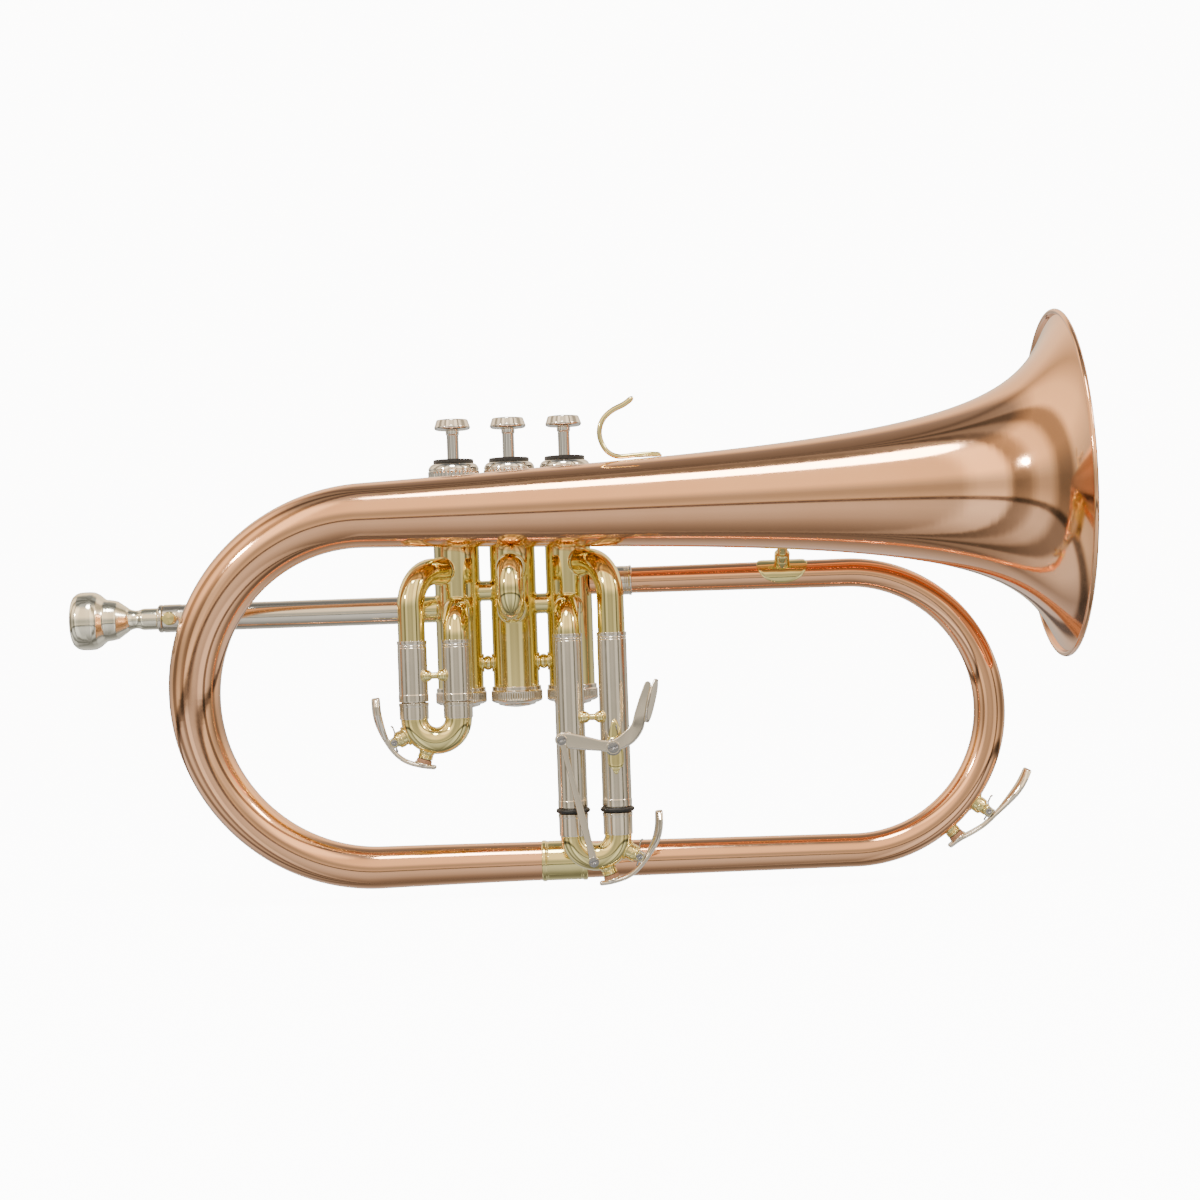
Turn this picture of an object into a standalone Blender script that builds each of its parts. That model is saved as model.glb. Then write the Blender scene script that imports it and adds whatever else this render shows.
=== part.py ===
"""A flugelhorn in B flat with three piston valves, modelled as the separate pieces it is made of.

Frame: the origin lies on the middle valve's axis at the height of the mouthpipe. +X runs to the
bell, +Z runs up along the valves, and -Y is the player's right-hand side, where the bell tube passes.
All lengths are in metres. Touching pieces keep FIT_GAP between them.
"""

import math

import bmesh
import bpy
import numpy as np
from mathutils import Matrix, Vector

MM = 0.001

# Fits
FIT_GAP = 0.3 * MM  # between two pieces that touch
SLIDE_GAP = 0.3 * MM  # between an inner and an outer slide tube
STEP = 0.05 * MM  # length over which a tube changes its diameter at a shoulder

# Valve block
VALVE_PITCH = 25.15 * MM
CASING_RADIUS = 10.3 * MM
CASING_BORE = 9.1 * MM
CASING_TOP = 60.8 * MM
CASING_BOTTOM = -41.5 * MM
PORT_DEPTH = 9.4 * MM  # distance from a valve's axis to the end of a tube that enters its casing
PISTON_TOP = 40 * MM
PISTON_BOTTOM = -12 * MM
PISTON_PASSAGE = 4.2 * MM  # radius of the passages through a piston
VALVE_TRAVEL = 13 * MM
STEM_RADIUS = 2.7 * MM
BUTTON_RADIUS = 8.1 * MM
BUTTON_HEIGHT = 4.8 * MM
CAP_RADIUS = 11.45 * MM
CAP_SKIRT = 6.4 * MM  # how far a top cap reaches down over its casing
CAP_CROWN = 4.6 * MM  # how far a top cap stands above its casing
BOTTOM_CAP_RADIUS = 11.55 * MM
BOTTOM_CAP_SKIRT = 5.6 * MM
BOTTOM_CAP_FLOOR = 2.3 * MM
BOTTOM_CAP_DOME = 1.4 * MM
FELT_RADIUS = 9.15 * MM
FELT_HEIGHT = 1.6 * MM
SPRING_RADIUS = 6.4 * MM
SPRING_WIRE = 0.5 * MM
SPRING_TURNS = 6

# Mouthpipe line
MOUTHPIPE_END = -160.8 * MM
SLEEVE_RADIUS = 6.2 * MM
SLEEVE_BORE = 5.75 * MM
MOUTHPIPE_BORE = 5.0 * MM
MOUTHPIPE_LENGTH = 60 * MM
COLLAR_LENGTH = 2.4 * MM
LOCK_SCREW_X = -154.2 * MM
LOCK_SCREW_HEAD = 3.1 * MM
LOCK_SCREW_SHANK = 1.5 * MM
CUP_LENGTH = 38.4 * MM  # the part of the mouthpiece that stands out of the mouthpipe
RIM_RADIUS = 13.25 * MM
SHANK_RADIUS = 4.7 * MM
SHANK_DEPTH = 22 * MM

# Bell and bows
BELL_Y = -30 * MM
RIM_X = 242.6 * MM
BELL_RIM_RADIUS = 76.2 * MM
FLARE_LENGTH = 12.67 * MM  # the smaller it is, the later and the faster the bell opens
THROAT_X = 10 * MM  # the bell follows the flare law to the right of it
THROAT_POWER = 0.689  # how fast the tube narrows to the left of the throat
BELL_HEIGHT = 42.3 * MM  # the bell's axis where the left bow ends
BELL_RISE = 3.5 * MM  # rise of the bell's axis from there to the rim
BOTTOM_Z = -115.5 * MM
LEFT_BOW_X = -63.1 * MM
RIGHT_BOW_X = 150.5 * MM
RIGHT_BOW_RADIUS = 62.8 * MM
SHEET = 0.6 * MM  # wall of the bell and the bows
BEAD = 1.8 * MM  # flat width of the rolled rim
FERRULE_LEFT = 8.8 * MM
FERRULE_RIGHT = 29.3 * MM
FERRULE_RADIUS = 8.9 * MM
TAIL_RADIUS = 8.0 * MM  # both tubes inside the bottom ferrule
MAIN_END_RADIUS = 8.3 * MM
MAIN_START_RADIUS = 5.8 * MM
EXIT_FERRULE_X = 45.0 * MM
EXIT_FERRULE_LENGTH = 8.6 * MM
EXIT_FERRULE_WALL = 0.5 * MM

# Valve slides
SLIDE_Y = -25 * MM  # plane of the first and the third slide
LEG_SPACING = 19.5 * MM
ELBOW_RADIUS = 6.0 * MM
SPIGOT_RADIUS = 5.4 * MM  # the end of a tube inside a casing's port
SLEEVE_TUBE_RADIUS = 6.5 * MM
SLEEVE_TUBE_BORE = 5.7 * MM
TUBE_WALL = 0.7 * MM
HIGH_BEND = 15.6 * MM
LOW_BEND = 11.2 * MM
LOW_PORT_Z = -1.0 * MM
SLIDE_1 = {"valve": 0, "side": -1, "shift": 0.0, "high": 16.8 * MM, "top": -13.6 * MM}
SLIDE_1.update({"bottom": -40.5 * MM, "bow": -48.2 * MM, "inner": 22 * MM, "brace": -29.1 * MM})
SLIDE_3 = {"valve": 2, "side": 1, "shift": -1.15 * MM, "high": 18.9 * MM, "top": -12.7 * MM}
SLIDE_3.update({"bottom": -89.4 * MM, "bow": -101.9 * MM, "inner": 40 * MM, "brace": -49.7 * MM})
SLIDE_2_MIDDLE = 8.1 * MM
SLIDE_2_SPACING = 18.6 * MM
SLIDE_2_SLEEVE_END = -26 * MM
SLIDE_2_BOW_Y = -29 * MM
SLIDE_2_INNER = 12 * MM
RING_GAP = 2.6 * MM  # room for a rubber ring between a sleeve and its crook's collar

# Crossovers and braces
CROSSOVER_Z = (7.5 * MM, 1.0 * MM)
CROSSOVER_RADIUS = 4.6 * MM
CASING_BRACE_Z = -25.1 * MM
BRACE_RADIUS = 3.5 * MM
BELL_BRACE_X = 121.4 * MM
BELL_BRACE_POST = 1.9 * MM
BELL_STAY_RADIUS = 4.2 * MM
HOOK_START = 67.9 * MM
HOOK_WIRE = 1.3 * MM

# Third-slide trigger
TRIGGER_X = 42.5 * MM
TRIGGER_Z = -62.9 * MM
TRIGGER_ARM = 22.7 * MM
TRIGGER_TILT = math.radians(10.4)
TRIGGER_PLANE = -35.4 * MM  # middle plane of the lever
TRIGGER_PLATE = 1.6 * MM
TRIGGER_PIN = 1.5 * MM
ROD_END_X = 32.4 * MM
ROD_END_Z = -112.3 * MM
ROD_PLANE = -38.0 * MM
ROD_PIN = 0.7 * MM
PIN_PLAY = 0.35 * MM
OPEN_PIVOT_PLAY = 0.8 * MM  # room in the upper eye, where the linkage is open
LEVER_OVERHANG = 2.4 * MM  # the lever beyond its rod pin
LEVER_ARM_HEIGHTS = (3.4, 4.4, 6.0, 5.0)  # millimetres, from the rod's end to past the pivot
THUMB_PLATE_WIDTHS = (7.5, 9.5, 8.0, 4.0)
THUMB_PLATE_PLACES = ((12.0, 9.0), (15.5, 17.0), (19.5, 27.5), (20.0, 29.5))  # from the pivot
LEVER_BEND = (6.5, 1.5)  # where the arm turns up into the thumb plate, from the pivot
LEVER_LEAN = 2.0 * MM  # how far the thumb plate stands out from the arm's plane
LEAN_LENGTH = 12 * MM
PIN_HEAD = 1.6 * MM  # a pin beyond the plane of what it holds
SADDLE_BASE = 4.2 * MM
SADDLE_BASE_HEIGHT = 1.2 * MM
SADDLE_NECK = 2.8 * MM
SADDLE_PIN_END = 2.0 * MM
SHIELD_THICKNESS = 1.1 * MM
SHIELD_PLACES = ((0.8, 12.6), (3.4, 4.2), (3.4, -4.2), (0.8, -12.6))  # half width and height
STUD_RADIUS = 2.0 * MM
STUD_TOP = 0.9 * MM  # below the middle plane of the rod
ROD_EYE_ROOM = 2.3 * MM
ROD_WIDTHS = (3.0, 4.6, 1.8, 1.8, 4.6, 3.0)
ROD_THICKNESS = 1.2 * MM

# Water keys
KEY_PLATE = 1.1 * MM
KEY_WIDTH = 4.6 * MM
KEY_TIP_WIDTH = 9.4 * MM
NIPPLE_RADIUS = 3.2 * MM
NIPPLE_BORE = 1.2 * MM
NIPPLE_HEIGHT = 2.6 * MM
CORK_RADIUS = 3.2 * MM
CORK_HEIGHT = 2.2 * MM
SADDLE_RADIUS = 3.3 * MM
SADDLE_DRUM = 3.4 * MM  # height of the thick part
SADDLE_NECK_RADIUS = 2.3 * MM
SADDLE_NECK_EASE = 0.6 * MM
SADDLE_TOP_ROOM = 1.9 * MM  # between a water key's saddle and the lever over it
KEY_END_WIDTH = 4.4 * MM
CORK_SEAT = 0.6 * MM  # the lever is wider than its cork by this

TUBE_SIDES = 10
TURNED_SIDES = 16
BELL_SIDES = 18

X_AXIS = np.array((1.0, 0.0, 0.0))
Y_AXIS = np.array((0.0, 1.0, 0.0))
Z_AXIS = np.array((0.0, 0.0, 1.0))

VALVE_X = [(i - 1) * VALVE_PITCH for i in range(3)]
LEFT_BOW_RADIUS = (BELL_HEIGHT - BOTTOM_Z) / 2
LEFT_BOW_Z = BOTTOM_Z + LEFT_BOW_RADIUS
RIGHT_BOW_Z = BOTTOM_Z + RIGHT_BOW_RADIUS
EXIT_Z = RIGHT_BOW_Z + RIGHT_BOW_RADIUS
BUTTON_TOP = CASING_TOP + CAP_CROWN + FIT_GAP + FELT_HEIGHT + FIT_GAP + VALVE_TRAVEL + BUTTON_HEIGHT
CROOK_RADIUS = SLEEVE_TUBE_BORE - SLIDE_GAP


def start_clean():
    for thing in list(bpy.data.objects):
        bpy.data.objects.remove(thing, do_unlink=True)


def make_finish(name, colour, metallic, roughness):
    made = bpy.data.materials.new(name)
    made.use_nodes = True
    shader = made.node_tree.nodes["Principled BSDF"]
    shader.inputs["Base Color"].default_value = (*colour, 1.0)
    shader.inputs["Metallic"].default_value = metallic
    shader.inputs["Roughness"].default_value = roughness
    return made


def make_finishes():
    return {
        "rose_brass": make_finish("rose_brass", (0.80, 0.42, 0.25), 1.0, 0.12),
        "yellow_brass": make_finish("yellow_brass", (0.82, 0.61, 0.22), 1.0, 0.12),
        "nickel": make_finish("nickel", (0.66, 0.63, 0.57), 1.0, 0.14),
        "silver": make_finish("silver", (0.86, 0.85, 0.80), 1.0, 0.10),
        "felt": make_finish("felt", (0.02, 0.02, 0.02), 0.0, 0.95),
        "steel": make_finish("steel", (0.55, 0.55, 0.56), 1.0, 0.25),
    }


def add_object(name, mesh, finish, at=(0, 0, 0), towards=(0, 0, 1)):
    """An object whose local +Z points along towards, with its origin at the point at."""
    made = bpy.data.objects.new(name, mesh)
    bpy.context.scene.collection.objects.link(made)
    turn = Vector((0, 0, 1)).rotation_difference(Vector(towards))
    made.rotation_mode = "QUATERNION"
    made.rotation_quaternion = turn
    made.location = Vector(at)
    mesh.materials.append(finish)
    return made


def mesh_from(name, points, faces):
    mesh = bpy.data.meshes.new(name)
    mesh.from_pydata([tuple(p) for p in points], [], faces)
    work = bmesh.new()
    work.from_mesh(mesh)
    bmesh.ops.recalc_face_normals(work, faces=work.faces)
    work.to_mesh(mesh)
    work.free()
    mesh.shade_smooth()
    mesh.set_sharp_from_angle(angle=math.radians(35))
    return mesh


def skin(rings, first, sides):
    """Quads between each ring and the next one. The ring's points count on from index first."""
    faces = []
    for i in range(rings - 1):
        for j in range(sides):
            a = first + i * sides + j
            b = first + i * sides + (j + 1) % sides
            faces.append((a, b, b + sides, a + sides))
    return faces


def loft(name, outer, inner=None):
    """A closed body through the rings of outer, hollow where inner gives a second set of rings."""
    count, sides = outer.shape[:2]
    faces = skin(count, 0, sides)
    last = (count - 1) * sides
    if inner is None:
        faces.append(tuple(range(sides)))
        faces.append(tuple(range(last, last + sides)))
        return mesh_from(name, outer.reshape(-1, 3), faces)
    base = count * sides
    faces += skin(count, base, sides)
    for start in (0, last):
        for j in range(sides):
            k = (j + 1) % sides
            faces.append((start + j, start + k, base + start + k, base + start + j))
    points = np.concatenate([outer.reshape(-1, 3), inner.reshape(-1, 3)])
    return mesh_from(name, points, faces)


def path_frames(path, hint):
    """Two unit vectors across the path at each of its points. The first one lies nearest to hint."""
    tangent = np.gradient(path, axis=0)
    tangent /= np.linalg.norm(tangent, axis=1, keepdims=True)
    across = hint - (tangent @ hint)[:, None] * tangent
    across /= np.linalg.norm(across, axis=1, keepdims=True)
    return across, np.cross(tangent, across)


def round_rings(path, radii, sides, hint):
    across, up = path_frames(path, hint)
    turn = 2 * math.pi * (np.arange(sides) + 0.5) / sides
    spokes = across[:, None] * np.cos(turn)[None, :, None] + up[:, None] * np.sin(turn)[None, :, None]
    return path[:, None] + spokes * np.asarray(radii)[:, None, None]


def make_tube(name, stations, finish, hint, sides=TUBE_SIDES):
    """A tube through stations of (point, outer radius, inner radius)."""
    path = np.array([s[0] for s in stations])
    outer = round_rings(path, [s[1] for s in stations], sides, hint)
    inner = round_rings(path, [s[2] for s in stations], sides, hint)
    return add_object(name, loft(name, outer, inner), finish)


def make_strip(name, path, widths, thickness, finish):
    """A flat bar along a path in an XZ plane: widths run along Y, the thickness across the path."""
    across, up = path_frames(path, Y_AXIS)
    half = np.asarray(widths)[:, None] / 2
    corners = [(-1, -1), (1, -1), (1, 1), (-1, 1)]
    rings = [path + a * across * half + b * up * thickness / 2 for a, b in corners]
    return add_object(name, loft(name, np.stack(rings, axis=1)), finish)


def turn_profile(name, profile, sides=TURNED_SIDES):
    """A body turned about local Z from a closed outline of (radius, height) points."""
    work = bmesh.new()
    corners = [work.verts.new((r, 0, z)) for r, z in profile]
    edges = [work.edges.new((corners[i - 1], corners[i])) for i in range(len(corners))]
    on_axis = [e for e in edges if max(v.co.x for v in e.verts) < 1e-9]
    bmesh.ops.delete(work, geom=on_axis, context="EDGES")
    work.verts.ensure_lookup_table()
    geometry = list(work.verts) + list(work.edges)
    axis = (0, 0, 1)
    bmesh.ops.spin(work, geom=geometry, cent=(0, 0, 0), axis=axis, angle=2 * math.pi, steps=sides)
    bmesh.ops.remove_doubles(work, verts=work.verts, dist=1e-7)
    bmesh.ops.recalc_face_normals(work, faces=work.faces)
    mesh = bpy.data.meshes.new(name)
    work.to_mesh(mesh)
    work.free()
    mesh.shade_smooth()
    mesh.set_sharp_from_angle(angle=math.radians(35))
    return mesh


def make_turned(name, profile, finish, at, towards=(0, 0, 1), sides=TURNED_SIDES):
    return add_object(name, turn_profile(name, profile, sides), finish, at, towards)


def make_cutter(name, start, end, radius, sides=12):
    """A hidden round bar from start to end, for a Boolean."""
    start, end = Vector(start), Vector(end)
    profile = [(0, 0), (radius, 0), (radius, (end - start).length), (0, (end - start).length)]
    mesh = turn_profile(name, profile, sides)
    made = bpy.data.objects.new(name, mesh)
    bpy.context.scene.collection.objects.link(made)
    made.rotation_mode = "QUATERNION"
    made.rotation_quaternion = Vector((0, 0, 1)).rotation_difference(end - start)
    made.location = start
    made.hide_render = True
    made.display_type = "WIRE"
    return made


def combine(body, others, operation):
    """Cuts others out of body, or joins them to it, with exact Booleans."""
    for other in others:
        change = body.modifiers.new(other.name, "BOOLEAN")
        change.operation = operation
        change.solver = "EXACT"
        change.object = other


def straight(start, end, steps=1):
    share = np.linspace(0, 1, steps + 1)[:, None]
    return np.asarray(start) * (1 - share) + np.asarray(end) * share


def arc(centre, radius, first, second, start, end, steps):
    """Points on a circle in the plane of two unit vectors, from one angle to another."""
    angle = np.radians(np.linspace(start, end, steps + 1))[:, None]
    return np.asarray(centre) + radius * (np.cos(angle) * first + np.sin(angle) * second)


def joined(*pieces):
    """One path through the pieces, without the points that repeat."""
    path = [pieces[0][0]]
    for point in np.concatenate(pieces):
        if np.linalg.norm(point - path[-1]) > STEP / 2:
            path.append(point)
    return np.array(path)


def smooth_step(share):
    share = np.clip(share, 0, 1)
    return share * share * (3 - 2 * share)


def bell_radius(distance):
    """Outer radius at a distance along the tube from the rim.

    The flare opens with the inverse square root of the distance, and the tube behind the throat
    narrows with a lower power of it.
    """
    throat = RIM_X - THROAT_X
    flare = BELL_RIM_RADIUS * np.sqrt(FLARE_LENGTH / (np.minimum(distance, throat) + FLARE_LENGTH))
    return flare * (throat / np.maximum(distance, throat)) ** THROAT_POWER


def bell_axis_z(x):
    return BELL_HEIGHT + BELL_RISE * (x - LEFT_BOW_X) / (RIM_X - LEFT_BOW_X)


def bell_surface_radius(x):
    return float(bell_radius(np.array(RIM_X - x)))


def make_bell(finishes):
    """The bell, its conical tube and the left bow, one tube of sheet metal down to the ferrule."""
    bottom = straight((FERRULE_LEFT, 0, BOTTOM_Z), (LEFT_BOW_X, 0, BOTTOM_Z), 2)
    bow = arc((LEFT_BOW_X, 0, LEFT_BOW_Z), LEFT_BOW_RADIUS, X_AXIS, Z_AXIS, -90, -270, 16)
    ratio = (THROAT_X - RIM_X - FLARE_LENGTH) / -FLARE_LENGTH
    reach = FLARE_LENGTH * (ratio ** np.linspace(1, 0.09, 13) - 1)
    flare_x = np.concatenate([[(LEFT_BOW_X + THROAT_X) / 2], RIM_X - reach])
    cone = np.stack([flare_x, 0 * flare_x, bell_axis_z(flare_x)], axis=1)
    path = joined(bottom, bow, cone)
    run = np.concatenate([[0], np.cumsum(np.linalg.norm(np.diff(path, axis=0), axis=1))])
    length = run[-1] + RIM_X - path[-1][0]
    lean_end = run[len(bottom) + len(bow) - 2]
    path[:, 1] = BELL_Y * smooth_step(run / lean_end)
    distance = length - run
    outer = bell_radius(distance)
    slope = 0.5 * outer / (np.minimum(distance, RIM_X - THROAT_X) + FLARE_LENGTH)
    wall = SHEET * np.sqrt(1 + slope**2)
    tail = [(p, TAIL_RADIUS, TAIL_RADIUS - SHEET) for p in tail_points(FERRULE_LEFT, 1)]
    body = list(zip(path, outer, outer - wall, strict=True))
    # The rolled rim: back, crown and front of the bead, as (distance from the rim, outer, inner).
    bead = ((2.2, 3.2, 6.7), (1.8, 0.6, 5.9), (0.6, 0.0, 2.9), (0.0, 0.2, 0.2 + BEAD / MM))
    for back, out_drop, in_drop in bead:
        x = RIM_X - back * MM
        point = np.array((x, BELL_Y, bell_axis_z(x)))
        body.append((point, BELL_RIM_RADIUS - out_drop * MM, BELL_RIM_RADIUS - in_drop * MM))
    make_tube("bell", tail + body, finishes["rose_brass"], Y_AXIS, BELL_SIDES)


def tail_points(edge, direction):
    """Two points of a tube's tail, from the ferrule's middle to just before the ferrule's edge."""
    middle = (FERRULE_LEFT + FERRULE_RIGHT) / 2 - direction * FIT_GAP
    return [
        np.array((middle, 0, BOTTOM_Z)),
        np.array((edge + direction * STEP, 0, BOTTOM_Z)),
    ]


def make_main_tube(finishes):
    """The tube from the third valve round the right bow to the bottom ferrule."""
    start = VALVE_X[2] + PORT_DEPTH
    shoulder = VALVE_X[2] + CASING_RADIUS + FIT_GAP
    spigot = straight((start, 0, EXIT_Z), (shoulder - STEP, 0, EXIT_Z))
    upper = straight((shoulder, 0, EXIT_Z), (RIGHT_BOW_X, 0, EXIT_Z), 2)
    bow = arc((RIGHT_BOW_X, 0, RIGHT_BOW_Z), RIGHT_BOW_RADIUS, X_AXIS, Z_AXIS, 90, -90, 14)
    lower = straight((RIGHT_BOW_X, 0, BOTTOM_Z), (FERRULE_RIGHT + FIT_GAP, 0, BOTTOM_Z), 2)
    path = joined(upper, bow, lower)
    run = np.concatenate([[0], np.cumsum(np.linalg.norm(np.diff(path, axis=0), axis=1))])
    outer = MAIN_START_RADIUS + (MAIN_END_RADIUS - MAIN_START_RADIUS) * run / run[-1]
    stations = [(p, SPIGOT_RADIUS, SPIGOT_RADIUS - TUBE_WALL) for p in spigot]
    stations += list(zip(path, outer, outer - TUBE_WALL, strict=True))
    tail = tail_points(FERRULE_RIGHT + FIT_GAP, -1)[::-1]
    stations += [(p, TAIL_RADIUS, TAIL_RADIUS - SHEET) for p in tail]
    make_tube("main_tube", stations, finishes["rose_brass"], Y_AXIS, 12)


def make_ferrules(finishes):
    length = FERRULE_RIGHT - FERRULE_LEFT
    bore = TAIL_RADIUS + FIT_GAP
    bead = 0.35 * MM
    ring = 2.2 * MM
    profile = [
        (bore, 0),
        (FERRULE_RADIUS + bead, 0),
        (FERRULE_RADIUS + bead, ring),
        (FERRULE_RADIUS, ring),
        (FERRULE_RADIUS, length - ring),
        (FERRULE_RADIUS + bead, length - ring),
        (FERRULE_RADIUS + bead, length),
        (bore, length),
    ]
    at = (FERRULE_LEFT + FIT_GAP, 0, BOTTOM_Z)
    profile = [(r, z * (1 - FIT_GAP / length)) for r, z in profile]
    make_turned("bottom_ferrule", profile, finishes["yellow_brass"], at, X_AXIS)
    run = EXIT_FERRULE_X + EXIT_FERRULE_LENGTH - VALVE_X[2] - CASING_RADIUS
    total = RIGHT_BOW_X - VALVE_X[2] + math.pi * RIGHT_BOW_RADIUS + RIGHT_BOW_X - FERRULE_RIGHT
    bore = MAIN_START_RADIUS + (MAIN_END_RADIUS - MAIN_START_RADIUS) * run / total + FIT_GAP
    skirt = bore + EXIT_FERRULE_WALL
    profile = [(bore, 0), (skirt, 0), (skirt, EXIT_FERRULE_LENGTH), (bore, EXIT_FERRULE_LENGTH)]
    make_turned("exit_ferrule", profile, finishes["nickel"], (EXIT_FERRULE_X, 0, EXIT_Z), X_AXIS)


def ports_of(valve):
    """The tubes that enter a casing, as (direction, height, radius of the hole)."""
    hole = SPIGOT_RADIUS + FIT_GAP
    cross = CROSSOVER_RADIUS + FIT_GAP
    enters = [(-X_AXIS, 0.0, hole), (-X_AXIS, CROSSOVER_Z[0], cross), (-X_AXIS, CROSSOVER_Z[1], cross)]
    leaves = [(X_AXIS, CROSSOVER_Z[0], cross), (X_AXIS, CROSSOVER_Z[1], cross), (X_AXIS, EXIT_Z, hole)]
    if valve == 1:
        half = SLIDE_2_SPACING / 2
        slides = [(-Y_AXIS, SLIDE_2_MIDDLE + half, hole), (-Y_AXIS, SLIDE_2_MIDDLE - half, hole)]
    else:
        slide = SLIDE_1 if valve == 0 else SLIDE_3
        high, low = leg_places(slide)
        slides = [(leg_direction(slide, high), slide["high"], hole)]
        slides.append((leg_direction(slide, low), LOW_PORT_Z, hole))
    return [enters[valve], leaves[valve], *slides]


def make_casings(finishes):
    for valve, x in enumerate(VALVE_X):
        number = valve + 1
        profile = [
            (CASING_BORE, CASING_BOTTOM),
            (CASING_RADIUS, CASING_BOTTOM),
            (CASING_RADIUS, CASING_TOP),
            (CASING_BORE, CASING_TOP),
        ]
        name = f"valve_casing_{number}"
        casing = make_turned(name, profile, finishes["yellow_brass"], (x, 0, 0), sides=20)
        cutters = []
        for i, (direction, height, radius) in enumerate(ports_of(valve)):
            near = np.array((x, 0, height)) + direction * CASING_BORE * 0.4
            far = np.array((x, 0, height)) + direction * CASING_RADIUS * 1.2
            cutters.append(make_cutter(f"port_{number}_{i}", near, far, radius))
        combine(casing, cutters, "DIFFERENCE")
        make_caps(number, x, finishes)
        make_piston(valve, x, finishes)


def make_caps(number, x, finishes):
    thread = CASING_RADIUS + FIT_GAP
    hole = STEM_RADIUS + 0.5 * MM
    seat = CASING_TOP + FIT_GAP
    crown = CASING_TOP + CAP_CROWN
    skirt = CASING_TOP - CAP_SKIRT
    edge = 0.8 * MM
    profile = [
        (thread, skirt),
        (CAP_RADIUS, skirt),
        (CAP_RADIUS, crown - edge),
        (CAP_RADIUS - edge, crown),
        (hole, crown),
        (hole, seat),
        (thread, seat),
    ]
    make_turned(f"top_cap_{number}", profile, finishes["nickel"], (x, 0, 0))
    seat = CASING_BOTTOM - FIT_GAP
    floor = seat - BOTTOM_CAP_FLOOR
    vent = 1.5 * MM
    profile = [
        (vent, floor - BOTTOM_CAP_DOME),
        (CAP_RADIUS * 0.7, floor - BOTTOM_CAP_DOME * 0.6),
        (BOTTOM_CAP_RADIUS, floor + edge),
        (BOTTOM_CAP_RADIUS, CASING_BOTTOM + BOTTOM_CAP_SKIRT),
        (thread, CASING_BOTTOM + BOTTOM_CAP_SKIRT),
        (thread, seat),
        (vent, seat),
    ]
    make_turned(f"bottom_cap_{number}", profile, finishes["nickel"], (x, 0, 0))
    base = crown + FIT_GAP
    top = base + FELT_HEIGHT
    profile = [(hole, base), (FELT_RADIUS, base), (FELT_RADIUS, top), (hole, top)]
    make_turned(f"cap_felt_{number}", profile, finishes["felt"], (x, 0, 0))


def make_piston(valve, x, finishes):
    number = valve + 1
    radius = CASING_BORE - FIT_GAP
    under = BUTTON_TOP - BUTTON_HEIGHT - FIT_GAP
    profile = [
        (0, PISTON_BOTTOM),
        (radius, PISTON_BOTTOM),
        (radius, PISTON_TOP),
        (STEM_RADIUS, PISTON_TOP),
        (STEM_RADIUS, under),
        (0, under),
    ]
    piston = make_turned(f"piston_{number}", profile, finishes["nickel"], (x, 0, 0), sides=20)
    (side_in, z_in, _), (side_out, z_out, _), _, (low_side, z_low, _) = ports_of(valve)
    reach = CASING_BORE * 1.3
    passages = [
        ((side_in, z_in), (side_out, z_out)),
        ((side_in, z_in + VALVE_TRAVEL), (low_side, z_low + VALVE_TRAVEL)),
    ]
    cutters = []
    for i, ((a, z_a), (b, z_b)) in enumerate(passages):
        start = np.array((x, 0, z_a)) + a * reach
        end = np.array((x, 0, z_b)) + b * reach
        cutters.append(make_cutter(f"passage_{number}_{i}", start, end, PISTON_PASSAGE, 8))
    combine(piston, cutters, "DIFFERENCE")
    lip = 0.9 * MM
    foot = BUTTON_TOP - BUTTON_HEIGHT
    profile = [
        (0, foot),
        (BUTTON_RADIUS - lip, foot),
        (BUTTON_RADIUS, foot + lip),
        (BUTTON_RADIUS, foot + 2 * lip),
        (BUTTON_RADIUS - lip, BUTTON_TOP),
        (0, BUTTON_TOP),
    ]
    make_turned(f"finger_button_{number}", profile, finishes["nickel"], (x, 0, 0))
    bottom = CASING_BOTTOM + SPRING_WIRE
    top = PISTON_BOTTOM - FIT_GAP - SPRING_WIRE
    share = np.linspace(0, 1, SPRING_TURNS * 8 + 1)
    angle = 2 * math.pi * SPRING_TURNS * share
    coil = np.stack(
        [x + SPRING_RADIUS * np.cos(angle), SPRING_RADIUS * np.sin(angle), bottom + (top - bottom) * share],
        axis=1,
    )
    rings = round_rings(coil, np.full(len(coil), SPRING_WIRE), 4, Z_AXIS)
    add_object(f"valve_spring_{number}", loft(f"valve_spring_{number}", rings), finishes["steel"])


def make_valve_block_links(finishes):
    for i, z in enumerate(CROSSOVER_Z):
        left = VALVE_X[i] + PORT_DEPTH
        right = VALVE_X[i + 1] - PORT_DEPTH
        bore = CROSSOVER_RADIUS - TUBE_WALL
        stations = [(p, CROSSOVER_RADIUS, bore) for p in straight((left, 0, z), (right, 0, z))]
        make_tube(f"crossover_tube_{i + 1}{i + 2}", stations, finishes["yellow_brass"], Y_AXIS, 12)
        left = VALVE_X[i] + CASING_RADIUS + FIT_GAP
        length = VALVE_PITCH - 2 * (CASING_RADIUS + FIT_GAP)
        at = (left, 0, CASING_BRACE_Z)
        name = f"casing_brace_{i + 1}{i + 2}"
        make_turned(name, baluster(length, BRACE_RADIUS), finishes["yellow_brass"], at, X_AXIS, 12)


def baluster(length, radius):
    """A round post with a ball in its middle and a flange at each end."""
    waist = 0.55 * radius
    shares = (0, 0.12, 0.2, 0.36, 0.5, 0.64, 0.8, 0.88, 1)
    sizes = (radius, radius, waist, waist, radius, waist, waist, radius, radius)
    outline = [(r, share * length) for r, share in zip(sizes, shares, strict=True)]
    return [(0, 0), *outline, (0, length)]


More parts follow.
